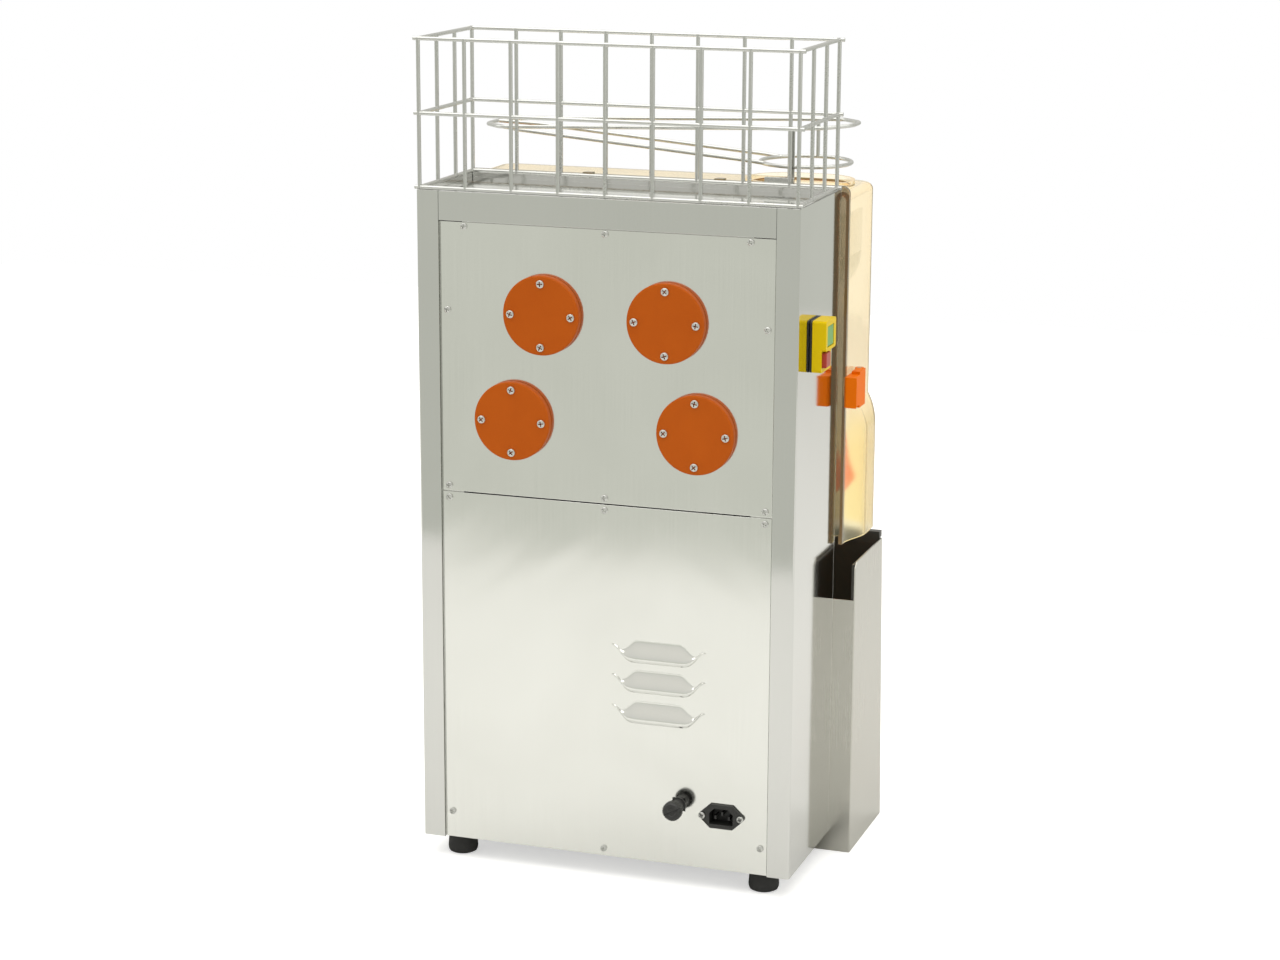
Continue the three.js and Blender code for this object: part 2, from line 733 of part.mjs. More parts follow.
// Four orange discs over the shaft ends
const capThick = 8;
const capEdge = 1.5;
const capSides = 24;
const capScrewCircle = 31.5;
const capScrewRadius = 3.7;
function shaftCover(x, z) {
  const back = panelFace + seatGap;
  const front = back + capThick;
  const disc = turnedY([
    [0, back], [capRadius, back], [capRadius, front - capEdge], [capRadius - capEdge, front], [0, front],
  ], x, z, capSides);
  const heads = [0, 1, 2, 3].map((turn) => panHead(
    x + capScrewCircle * Math.cos(turn * quarterTurn),
    z + capScrewCircle * Math.sin(turn * quarterTurn),
    front,
    capScrewRadius,
  ));
  return join(disc, ...heads);
}
for (const [place, [x, z]] of Object.entries(shaftPlaces)) {
  add(`shaft_cover_${place}`, shaftCover(x, z), 'orangePlastic');
}

// Bearing plate behind the gears, with its four bearings, on four columns from the front plate
const shaftRearIn = 4.5;
const shaftTail = 9;
const bearingPlateThick = 5;
const bearingPlateSideIn = 20;
const bearingPlateBelow = 51;
const bearingPlateAbove = 71;
const bearingPlateLow = upperShaftHeight - pairDistance - bearingPlateBelow;
const bearingPlateHigh = upperShaftHeight + bearingPlateAbove;
const bearingPlateCorner = 14;
const columnRadius = 8;
const columnSides = 8;
const upperColumnIn = 16;
const upperColumnDrop = 30;
const lowerColumnIn = 12;
const lowerColumnRise = 14;
const shaftRearY = panelBack - shaftRearIn;
const bearingPlateFace = shaftRearY - shaftTail;
const bearingPlateHalfWidth = halfWidth - bearingPlateSideIn;
const upperColumn = [bearingPlateHalfWidth - upperColumnIn, bearingPlateHigh - upperColumnDrop];
const lowerColumn = [bearingPlateHalfWidth - lowerColumnIn, bearingPlateLow + lowerColumnRise];
const bearingMiddleY = bearingPlateFace - bearingPlateThick / 2;
function bearingPlate() {
  const back = bearingPlateFace - bearingPlateThick;
  const shape = roundedOutline([-bearingPlateHalfWidth, bearingPlateHalfWidth], [bearingPlateLow, bearingPlateHigh],
    bearingPlateCorner);
  const columns = [upperColumn, lowerColumn].flatMap(([x, z]) => bothSides.map((side) => rodY(columnRadius,
    [frontPlateBack + seatGap, back + cutOver], side * x, z, columnSides)));
  const span = [bearingMiddleY - bearingWidth / 2, bearingMiddleY + bearingWidth / 2];
  const rings = Object.values(shaftPlaces).map(([x, z]) => rodY(bearingRadius, span, x, z, bearingSides));
  const bores = Object.values(shaftPlaces).map(([x, z]) => shaftBore(x, z, span));
  return cut(join(alongY(shape, [back, bearingPlateFace]), ...columns, ...rings), ...bores);
}
add('bearing_plate', bearingPlate(), 'gearSteel');

// Shafts: one for each drum, with a threaded nose for the hand nut
const noseRadius = 6;
const nutDepth = 10;
const noseLength = 8;
const shaftShoulderY = drumFrontY + nutDepth;
for (const [place, [x, z]] of Object.entries(shaftPlaces)) {
  const end = shaftShoulderY - noseLength;
  add(`shaft_${place}`, turnedY([
    [0, shaftRearY], [shaftRadius, shaftRearY], [shaftRadius, shaftShoulderY + seatGap],
    [noseRadius, shaftShoulderY + seatGap], [noseRadius, end], [0, end],
  ], x, z, shaftSides), 'gearSteel');
}

// Gear outline in the x-z plane, centred on its own axis, with one tooth centred on toothAngle
const addendumShare = 0.9;
const dedendumShare = 1.25;
const tipThickShare = 0.66;
const rootThickShare = 2.1;
function gearOutline(teeth, toothAngle) {
  const pitchRadius = gearModule * teeth / 2;
  const tip = pitchRadius + addendumShare * gearModule;
  const root = pitchRadius - dedendumShare * gearModule;
  const tipHalf = tipThickShare * gearModule / (2 * tip);
  const rootHalf = rootThickShare * gearModule / (2 * root);
  const points = [];
  for (let i = 0; i < teeth; i += 1) {
    const middle = toothAngle + 2 * Math.PI * i / teeth;
    for (const [radius, angle] of [[root, -rootHalf], [tip, -tipHalf], [tip, tipHalf], [root, rootHalf]]) {
      points.push([radius * Math.cos(middle + angle), radius * Math.sin(middle + angle)]);
    }
  }
  return outline(points);
}

// The tooth angle of a gear that meshes with another, from the direction between their axes
function meshedAngle(direction, toothAngle, teeth, mateTeeth) {
  const gapAngle = direction + Math.PI - (toothAngle - direction) * teeth / mateTeeth;
  return gapAngle + Math.PI / mateTeeth;
}

const gearWidth = 12;
const gearToBearing = 2.5;
const gearApart = 6;
const upperGearStart = bearingMiddleY - bearingWidth / 2 - gearToBearing - gearWidth;
const pairGearStart = upperGearStart - gearApart - gearWidth;
const gearHubRadius = 20;
const hubSides = 10;
const pairDirection = Math.atan2(lowerShaftHeight - upperShaftHeight, -(lowerShaftOut - upperShaftX));
const pinionDirection = Math.atan2(pinionHeight - lowerShaftHeight, pinionIn);
const upperToothAngles = { left: 0, right: meshedAngle(0, 0, upperTeeth, upperTeeth) };
const lowerToothAngle = meshedAngle(pairDirection, pairDirection, pairTeeth, pairTeeth);
const pinionToothAngle = meshedAngle(pinionDirection, lowerToothAngle, pairTeeth, pinionTeeth);

function gearDisc(teeth, toothAngle, start) {
  return alongY(gearOutline(teeth, toothAngle), [start, start + gearWidth]);
}
function gearBore(start, end) {
  return rodY(shaftRadius + seatGap, [start - cutOver, end + cutOver], 0, 0, shaftSides);
}
function gearCluster(toothAngle, pairAngle) {
  const end = upperGearStart + gearWidth;
  const hub = rodY(gearHubRadius, [pairGearStart + cutOver, end - cutOver], 0, 0, hubSides);
  const discs = [gearDisc(upperTeeth, toothAngle, upperGearStart), gearDisc(pairTeeth, pairAngle, pairGearStart)];
  return cut(join(hub, ...discs), gearBore(pairGearStart, end));
}
const hubLength = 24;
function lowerGear(pairAngle) {
  const end = pairGearStart + hubLength;
  const hub = rodY(gearHubRadius, [pairGearStart + cutOver, end], 0, 0, hubSides);
  return cut(join(hub, gearDisc(pairTeeth, pairAngle, pairGearStart)), gearBore(pairGearStart, end));
}
function placed(geometry, [x, z]) {
  return geometry.translate(x, 0, z);
}
const mirrorAngle = (angle) => Math.PI - angle;
add('gear_cluster_left', placed(gearCluster(upperToothAngles.left, pairDirection), shaftPlaces.upper_left),
  'gearSteel');
add('gear_cluster_right', placed(gearCluster(upperToothAngles.right, mirrorAngle(pairDirection)),
  shaftPlaces.upper_right), 'gearSteel');
add('gear_lower_left', placed(lowerGear(lowerToothAngle), shaftPlaces.lower_left), 'gearSteel');
add('gear_lower_right', placed(lowerGear(mirrorAngle(lowerToothAngle)), shaftPlaces.lower_right), 'gearSteel');

// Pinion on the gearbox output shaft
const outputRadius = 9;
const outputLength = 30;
const outputStart = pairGearStart - outputLength;
function pinion() {
  const disc = gearDisc(pinionTeeth, pinionToothAngle, pairGearStart);
  const stub = rodY(outputRadius, [outputStart, pairGearStart + gearWidth - cutOver], 0, 0, shaftSides);
  return placed(join(disc, stub), [pinionX, pinionHeight]);
}
add('drive_pinion', pinion(), 'gearSteel');

// Right-angle gearbox: a cast case with an output hub, ribs and four feet on the front plate
const gearboxHalfWidth = 48;
const gearboxStand = 22;
const gearboxBelow = 96;
const gearboxAbove = 34;
const gearboxCorner = 22;
const gearboxHubRadius = 30;
const gearboxHubRise = 6;
const gearboxToPinion = 8;
const gearboxFootRadius = 8;
const gearboxRibCount = 4;
const gearboxRibThick = 3;
const gearboxRibReach = 4;
const motorUnder = 18.4;
const motorGap = 3;
const motorLap = 1;
const motorEndRoom = 27.2;
const gearboxFrontY = frontPlateBack + gearboxStand;
const gearboxHubY = pairGearStart - gearboxToPinion;
const gearboxBackY = gearboxHubY - gearboxHubRise;
const motorRadius = (pairGearStart - frontPlateBack) / 2 + motorLap;
const motorY = frontPlateBack + motorGap + motorRadius;
const motorDrop = gearModule * (pinionTeeth / 2 + addendumShare) + motorUnder;
function gearbox() {
  const x0 = pinionX - gearboxHalfWidth;
  const x1 = pinionX + gearboxHalfWidth;
  const z0 = pinionHeight - gearboxBelow;
  const z1 = pinionHeight + gearboxAbove;
  const caseBody = alongY(roundedOutline([x0, x1], [z0, z1], gearboxCorner), [gearboxFrontY, gearboxBackY]);
  const hub = rodY(gearboxHubRadius, [gearboxBackY - cutOver, gearboxHubY], pinionX, pinionHeight, roundSides);
  const flange = rodX(motorRadius - footTaper, [x1 - gearboxCorner, x1 + gearboxRibReach], motorY,
    pinionHeight - motorDrop, roundSides);
  const ribs = [];
  for (let i = 0; i < gearboxRibCount; i += 1) {
    const z = z0 + gearboxCorner + i * (z1 - z0 - 2 * gearboxCorner) / (gearboxRibCount - 1);
    ribs.push(block([x0 - gearboxRibReach, x0 + cutOver],
      [gearboxFrontY + gearboxRibThick, gearboxBackY - gearboxRibThick],
      [z - gearboxRibThick / 2, z + gearboxRibThick / 2]));
  }
  const feet = [z0 + gearboxCorner, pinionHeight - gearboxCorner].flatMap((z) => [x0 + gearboxCorner, x1 - gearboxCorner]
    .map((x) => rodY(gearboxFootRadius, [frontPlateBack + seatGap, gearboxFrontY + cutOver], x, z, columnSides)));
  const outputBore = rodY(outputRadius + boreGap, [outputStart - cutOver, gearboxHubY + cutOver], pinionX,
    pinionHeight, shaftSides);
  return cut(join(caseBody, hub, flange, ...ribs, ...feet), outputBore);
}
add('gearbox', gearbox(), 'castAlloy');

// Drive motor, flange-mounted on the gearbox
const motorCapLength = 22;
const motorCapStep = 5;
const motorCapRadius = motorRadius - motorCapStep;
const motorFinCount = 8;
const motorFinThick = 3;
const motorFinReach = 3;
function motor() {
  const start = pinionX + gearboxHalfWidth + gearboxRibReach + seatGap;
  const end = halfWidth - sheet - motorEndRoom;
  const z = pinionHeight - motorDrop;
  const barrel = rodX(motorRadius - motorFinReach, [start, end - motorCapLength], motorY, z, roundSides);
  const cap = rodX(motorCapRadius, [end - motorCapLength - cutOver, end], motorY, z, roundSides);
  const fins = [];
  for (let i = 0; i < motorFinCount; i += 1) {
    const fin = block([start + motorFinThick, end - motorCapLength - motorFinThick], [0, motorRadius],
      [-motorFinThick / 2, motorFinThick / 2]);
    fins.push(fin.rotateX(2 * Math.PI * i / motorFinCount).translate(0, motorY, z));
  }
  return join(barrel, cap, ...fins);
}
add('motor', motor(), 'motorPaint');

// Cup drums: three round cups in each, meeting in the middle to hold an orange
const drumBore = shaftRadius + seatGap;
const nutRecessRadius = 24;
const drumSides = 24;
const drumEdge = 2;
const cupSides = 12;
const cupRings = 8;
function drumBlank(radius) {
  return turnedY([
    [drumBore, drumBackY], [radius - drumEdge, drumBackY], [radius, drumBackY - drumEdge],
    [radius, drumFrontY + drumEdge], [radius - drumEdge, drumFrontY], [nutRecessRadius, drumFrontY],
    [nutRecessRadius, shaftShoulderY], [drumBore, shaftShoulderY], [drumBore, drumBackY],
  ], 0, 0, drumSides);
}
function cupDrum(firstAngle) {
  const cups = [];
  for (let i = 0; i < cupCount; i += 1) {
    const angle = firstAngle + 2 * Math.PI * i / cupCount;
    const cup = new THREE.SphereGeometry(cupRadius, cupSides, cupRings);
    cups.push(cup.translate(cupDrumRadius * Math.cos(angle), drumMidY, cupDrumRadius * Math.sin(angle)));
  }
  return cut(drumBlank(cupDrumRadius), ...cups);
}

// Ball drums: a core with three fluted balls that press the halves into the cups
const ballSides = 12;
const ballRings = 6;
const fluteShare = 0.93;
function flutedBall(angle) {
  const ball = tidy(new THREE.SphereGeometry(ballRadius, ballSides, ballRings));
  const at = ball.attributes.position;
  for (let i = 0; i < at.count; i += 1) {
    const turn = Math.atan2(at.getZ(i), at.getX(i));
    const meridian = Math.round(turn * ballSides / (2 * Math.PI));
    const share = Math.abs(meridian) % 2 === 1 ? fluteShare : 1;
    at.setXYZ(i, at.getX(i) * share, at.getY(i), at.getZ(i) * share);
  }
  ball.rotateZ(-quarterTurn).rotateY(-angle);
  return ball.translate(ballCentreRadius * Math.cos(angle), drumMidY, ballCentreRadius * Math.sin(angle));
}
function ballDrum(firstAngle) {
  const balls = [];
  for (let i = 0; i < cupCount; i += 1) balls.push(flutedBall(firstAngle + 2 * Math.PI * i / cupCount));
  return join(drumBlank(ballCoreRadius), ...balls);
}

// At rest one cup of each upper drum faces the middle; a ball meets its cup on the line of the two shafts
const cupToPair = pairDirection + 2 * Math.PI;
const ballLead = cupToPair - Math.PI + cupToPair;
add('cup_drum_left', placed(cupDrum(0), shaftPlaces.upper_left), 'whitePlastic');
add('cup_drum_right', placed(cupDrum(Math.PI), shaftPlaces.upper_right), 'whitePlastic');
add('ball_drum_left', placed(ballDrum(ballLead), shaftPlaces.lower_left), 'orangeLatch');
add('ball_drum_right', placed(ballDrum(mirrorAngle(ballLead)), shaftPlaces.lower_right), 'orangeLatch');

// Hand nuts that hold the drums on their shafts
const nutRadius = 20;
const nutLobes = 6;
const nutLobeShare = 0.14;
const nutSteps = 18;
function handNut([x, z]) {
  const points = [];
  for (let i = 0; i < nutSteps; i += 1) {
    const turn = 2 * Math.PI * i / nutSteps;
    const radius = nutRadius * (1 - nutLobeShare * (1 - Math.cos(nutLobes * turn)) / 2);
    points.push([x + radius * Math.cos(turn), z + radius * Math.sin(turn)]);
  }
  const front = drumFrontY - nutReach;
  const blank = alongY(outline(points), [front, shaftShoulderY - seatGap]);
  const bore = rodY(noseRadius + seatGap, [shaftShoulderY - noseLength - seatGap, shaftShoulderY + cutOver], x, z,
    shaftSides);
  return cut(blank, bore);
}
for (const [place, spot] of Object.entries(shaftPlaces)) add(`hand_nut_${place}`, handNut(spot), 'blackPlastic');

// Knife between the upper drums, in a slim holder on the front plate
const bladeHalfThick = 1.2;
const bladeDrop = 14;
const bladeHeight = 61;
const bladeBevel = 6;
const bladeMargin = 3;
const holderGrip = 32;
const holderHeight = 94;
const holderTopHalf = 4;
const holderHalf = 9;
const holderGroove = 0.5;
const bladeTop = upperShaftHeight - bladeDrop;
const bladeBottom = bladeTop - bladeHeight;
const holderTop = bladeBottom + holderGrip;
const holderWaist = bladeBottom;
const holderBottom = holderTop - holderHeight;
function knifeBlade() {
  const shape = outline([
    [-bladeHalfThick, bladeBottom], [bladeHalfThick, bladeBottom], [bladeHalfThick, bladeTop - bladeBevel],
    [0, bladeTop], [-bladeHalfThick, bladeTop - bladeBevel],
  ]);
  return alongY(shape, [drumFrontY + bladeMargin, drumBackY - bladeMargin]);
}
function knifeHolder() {
  const shape = outline([
    [-holderHalf, holderBottom], [holderHalf, holderBottom], [holderHalf, holderWaist],
    [holderTopHalf, holderTop], [-holderTopHalf, holderTop], [-holderHalf, holderWaist],
  ]);
  const groove = block(
    [-bladeHalfThick - holderGroove, bladeHalfThick + holderGroove],
    [drumFrontY + bladeMargin - holderGroove, drumBackY - bladeMargin + holderGroove],
    [bladeBottom - seatGap, holderTop + cutOver],
  );
  return cut(alongY(shape, [drumFrontY, frontY - seatGap]), groove);
}
add('knife_blade', knifeBlade(), 'mirrorSteel');
add('knife_holder', knifeHolder(), 'orangeLatch');

// Peel ejectors: a slotted wedge beside each ball drum, whose two tines straddle the balls
const tineOut = 51.5;
const tineDrop = 1;
const ejectorSideIn = 22;
const ejectorFootIn = 7;
const ejectorHeelIn = 6;
const ejectorShoulder = 30;
const ejectorFootRise = 10;
const ejectorHeelRise = 12;
const ejectorThick = 5;
const tineTip = [lowerShaftOut + tineOut, upperShaftHeight - pairDistance - tineDrop];
const ejectorOuter = [halfWidth - ejectorSideIn, trayTop + ejectorShoulder];
const ejectorFoot = [halfWidth - ejectorFootIn, trayTop + ejectorFootRise];
const ejectorHeel = [trayHalf + ejectorHeelIn, trayTop + ejectorHeelRise];
const ballSweepGap = 5;
const sweepSides = 32;
function peelEjector() {
  const shape = outline([
    tineTip, ejectorOuter, ejectorFoot, [ejectorFoot[0], ejectorFoot[1] - ejectorThick],
    [ejectorHeel[0] + ejectorThick, ejectorHeel[1] - ejectorThick], ejectorHeel,
  ]);
  const wedge = alongY(shape, [drumFrontY, frontY - seatGap]);
  const sweep = rodY(ballCentreRadius + ballRadius + ballSweepGap,
    [drumMidY - ballRadius - ballSweepGap / 2, drumMidY + ballRadius + ballSweepGap / 2],
    lowerShaftOut, lowerShaftHeight, sweepSides);
  const core = rodY(ballCoreRadius + ballSweepGap, [drumFrontY - cutOver, frontY], lowerShaftOut, lowerShaftHeight,
    sweepSides);
  return cut(wedge, sweep, core);
}
for (const side of bothSides) {
  add(side === leftSide ? 'peel_ejector_left' : 'peel_ejector_right', sided(peelEjector(), side), 'orangeLatch');
}

// Cover: an amber moulding open at the back and below, with a peel chute bulging at each side
const chuteBulge = 11.5;
const chuteRise = 137;
const chuteLean = 37;
const chuteTop = coverBottom + chuteRise;
const chuteFull = chuteTop - chuteLean;
const chuteEase = 46;
const coverCorner = 12;
const coverTopEdge = 8;
const coverBack = -frontY + seatGap;
const cornerSteps = 2;
const easeSteps = 3;
const mouthSideIn = 58;
const mouthX = -halfWidth + mouthSideIn;
const mouthHalfLength = 52;
const mouthHalfDepth = 40;
const collarWall = 4;
const collarRise = 5;
const trayWindowGap = 3;
const trayWindowRise = 5;
const rimLap = 6;
const rimCorner = 8;
const trayWindowHalf = trayHalf + trayWindowGap;
const trayWindowTop = trayTop + trayWindowRise;
const rimBottom = coverBottom + rimCorner;
const hookX = 70;
const hookHalfWidth = 5;
const hookReach = 6;
const hookHeight = 5;
const pivotStand = 4.8;
const pivotAhead = 37;
const pivotOut = coverHalfWidth + pivotStand;
const pivotY = frontY - pivotAhead;
const pivotRadius = 2.5;
const pivotBossRadius = 4.6;
const latchAbove = 3;
const latchBottom = chuteTop + latchAbove;
const latchHeight = 37;
const latchKnuckle = 8;

function smooth(share) {
  const bounded = Math.min(Math.max(share, 0), 1);
  return bounded * bounded * (3 - 2 * bounded);
}
function coverRing(z, inset, topInset) {
  const bulge = chuteBulge * smooth((chuteTop - z) / (chuteTop - chuteFull));
  const front = coverFront - inset - topInset;
  const radius = coverCorner - inset / 2;
  const half = [[coverHalfWidth - inset - topInset, -coverBack + (inset > 0 ? cutOver : 0)]];
  for (let i = 0; i <= easeSteps; i += 1) {
    const along = i / easeSteps;
    const y = coverBack + rimDepth + chuteEase * along;
    half.push([coverHalfWidth - inset - topInset + bulge * smooth(along), -y]);
  }
  const cornerX = coverHalfWidth - inset - topInset + bulge - radius;
  for (let i = 0; i <= cornerSteps; i += 1) {
    const angle = quarterTurn * i / cornerSteps;
    half.push([cornerX + radius * Math.cos(angle), -(front - radius + radius * Math.sin(angle))]);
  }
  const other = half.map(([x, y]) => [-x, y]).reverse();
  return [...half, ...other].reverse().map(([x, y]) => [x, y, z]);
}
function coverLoft(inset) {
  const top = coverTop - inset;
  const edge = coverTopEdge - inset / 2;
  const levels = [[coverBottom - (inset > 0 ? cutOver : 0), 0], [chuteFull, 0]];
  for (let i = 1; i < easeSteps; i += 1) levels.push([chuteFull + (chuteTop - chuteFull) * i / easeSteps, 0]);
  levels.push([chuteTop, 0]);
  for (let i = 0; i <= cornerSteps; i += 1) {
    const angle = quarterTurn * i / cornerSteps;
    levels.push([top - edge + edge * Math.sin(angle), edge * (1 - Math.cos(angle))]);
  }
  return loft(levels.map(([z, topInset]) => coverRing(z, inset, topInset)));
}
function oval(x, y, halfLength, halfDepth) {
  return roundedOutline([x - halfLength, x + halfLength], [y - halfDepth, y + halfDepth], halfDepth);
}
function cover() {
  const shell = cut(coverLoft(0), coverLoft(coverWall));
  const rimShape = roundedOutline([-coverHalfWidth, coverHalfWidth], [rimBottom, rimTop], rimCorner);
  const rimHole = roundedOutline([-halfWidth + rimLap, halfWidth - rimLap],
    [rimBottom - rimCorner - cutOver, coverTop - coverWall - cutOver], rimCorner);
  const rim = cut(alongY(rimShape, [-coverBack - rimDepth, -coverBack]),
    alongY(rimHole, [-coverBack - rimDepth - cutOver, -coverBack + cutOver]));
  const mouthY = -(coverBack + coverFront) / 2;
  const collar = alongZ(oval(mouthX, mouthY, mouthHalfLength + collarWall, mouthHalfDepth + collarWall),
    [coverTop - coverWall, coverTop + collarRise], 6);
  const mouth = alongZ(oval(mouthX, mouthY, mouthHalfLength, mouthHalfDepth),
    [coverTop - coverWall - cutOver, coverTop + collarRise + cutOver], 6);
  const window = block([-trayWindowHalf, trayWindowHalf], [-coverFront - cutOver, -coverFront + coverCorner],
    [coverBottom - cutOver, trayWindowTop]);
  const hooks = bothSides.map((side) => sided(block(
    [hookX - hookHalfWidth, hookX + hookHalfWidth],
    [-coverBack - cutOver, -coverBack + hookReach],
    [topZ + seatGap, topZ + seatGap + hookHeight],
  ), side));
  const hookWebs = bothSides.map((side) => sided(block(
    [hookX - hookHalfWidth, hookX + hookHalfWidth],
    [-coverBack - rimDepth, -coverBack - cutOver / 2],
    [topZ - hookHeight, topZ + seatGap + hookHeight],
  ), side));
  const pivots = bothSides.map((side) => sided(pivotBoss(), side));
  const whole = join(shell, rim, collar, ...hooks, ...hookWebs, ...pivots);
  return cut(whole, mouth, window);
}

// The boss and pin on the cover's side that a latch turns on
function pivotBoss() {
  const low = latchBottom + latchKnuckle + seatGap;
  const high = latchBottom + latchHeight - latchKnuckle - seatGap;
  const boss = rodZ(pivotBossRadius, [low, high], pivotOut, pivotY, shaftSides);
  const root = block([coverHalfWidth - cutOver, pivotOut], [pivotY - pivotRadius, pivotY + pivotRadius], [low, high]);
  const pin = rodZ(pivotRadius, [latchBottom, latchBottom + latchHeight], pivotOut, pivotY, shaftSides);
  return join(boss, root, pin);
}
add('cover', cover(), 'amber');

// Latches: orange levers on the cover's sides, whose tails grip the body's front edge
const latchThick = 11;
const latchGrip = 5;
const latchTailY = frontY + latchGrip;
const latchTailDrop = 3;
const latchLip = 2;
const latchSlotGap = 0.8;
function latch() {
  const inner = coverHalfWidth + seatGap;
  const outer = inner + latchThick;
  const tailFoot = latchBottom + latchTailDrop;
  const tailHead = latchBottom + latchHeight - latchTailDrop;
  const lever = alongZ(outline([
    [inner, pivotY + latchThick], [outer, pivotY], [outer, latchTailY - latchLip], [outer + latchLip, latchTailY],
    [inner + latchLip, latchTailY], [inner, latchTailY - latchLip],
  ]), [tailFoot, tailHead]);
  const knuckles = [[latchBottom, latchBottom + latchKnuckle],
    [latchBottom + latchHeight - latchKnuckle, latchBottom + latchHeight]];
  const rings = knuckles.map((span) => rodZ(pivotBossRadius, span, pivotOut, pivotY, shaftSides));
  const webs = knuckles.map((span) => block([pivotOut - pivotBossRadius / 2, outer], [pivotY, pivotY + 2 * latchThick],
    span));
  const bossRoom = rodZ(pivotBossRadius + latchSlotGap,
    [latchBottom + latchKnuckle, latchBottom + latchHeight - latchKnuckle], pivotOut, pivotY, shaftSides);
  const pinHole = rodZ(pivotRadius + seatGap, [latchBottom - cutOver, latchBottom + latchHeight + cutOver], pivotOut,
    pivotY, shaftSides);
  const wallRoom = block([0, inner], [pivotY - latchThick, latchTailY + latchLip],
    [latchBottom - cutOver, latchBottom + latchHeight + cutOver]);
  return cut(join(lever, ...rings, ...webs), bossRoom, pinHole, wallRoom);
}
for (const side of bothSides) {
  add(side === leftSide ? 'latch_left' : 'latch_right', sided(latch(), side), 'orangeLatch');
}

// Peel bins: folded steel, lower at the rear where the chute drops the peel in
const binRear = -frontY + seatGap;
const binChamfer = 6;
function binProfile(inset, top, floor) {
  const slope = (binFootFront - binTopFront) / binSideTop;
  const frontAt = (z) => -(binFootFront - slope * z) + inset;
  return outline([[-binRear - inset, floor], [-binRear - inset, top], [frontAt(top), top], [frontAt(floor), floor]]);
}
function peelBin() {
  const outer = alongX(binProfile(0, binSideTop, 0), [binInner, binHalfSpan]);
  const hollow = alongX(binProfile(binSheet, binSideTop + cutOver, binSheet),
    [binInner + binSheet, binHalfSpan - binSheet]);
  const rearNotch = block([binInner + binSheet, binHalfSpan - binSheet], [-binRear - 2 * binSheet, -binRear + cutOver],
    [binRearTop, binSideTop + cutOver]);
  const corner = alongX(outline([
    [-binRear - binChamfer, binSideTop + cutOver], [-binRear + cutOver, binSideTop + cutOver],
    [-binRear + cutOver, binSideTop - binChamfer], [-binRear, binSideTop - binChamfer],
    [-binRear - binChamfer, binSideTop],
  ]), [binInner - cutOver, binHalfSpan + cutOver]);
  return cut(outer, hollow, rearNotch, corner);
}

// Black liner bucket inside each bin, with a grip rim along its front edge
const linerGap = 0.6;
const linerWall = 2.5;
const linerSideDrop = 3;
const linerRearDrop = 4;
const gripRise = 7;
const gripLap = 5;
const gripThick = 3;
const linerSideTop = binSideTop - linerSideDrop;
const linerRearTop = binRearTop - linerRearDrop;
const gripTop = binSideTop + gripRise;
function peelLiner() {
  const skin = binSheet + linerGap;
  const x0 = binInner + skin;
  const x1 = binHalfSpan - skin;
  const floor = binSheet + seatGap;
  const outer = alongX(binProfile(skin, linerSideTop, floor), [x0, x1]);
  const hollow = alongX(binProfile(skin + linerWall, linerSideTop + cutOver, floor + linerWall),
    [x0 + linerWall, x1 - linerWall]);
  const rearNotch = block([x0 + linerWall, x1 - linerWall],
    [-binRear - skin - linerWall - cutOver, -binRear - skin + cutOver], [linerRearTop, linerSideTop + cutOver]);
  const slope = (binFootFront - binTopFront) / binSideTop;
  const gripBack = -(binFootFront - slope * linerSideTop) + skin + linerWall;
  const grip = block([x0, x1], [-binTopFront - gripLap, gripBack], [binSideTop + seatGap, gripTop]);
  const neck = block([x0, x1], [gripBack - linerWall, gripBack], [linerSideTop - gripThick, gripTop - cutOver]);
  return join(cut(outer, hollow, rearNotch), grip, neck);
}
for (const side of bothSides) {
  const hand = side === leftSide ? 'left' : 'right';
  add(`bin_${hand}`, sided(peelBin(), side), 'brushedSteel');
  add(`bin_liner_${hand}`, sided(peelLiner(), side), 'blackPlastic');
}

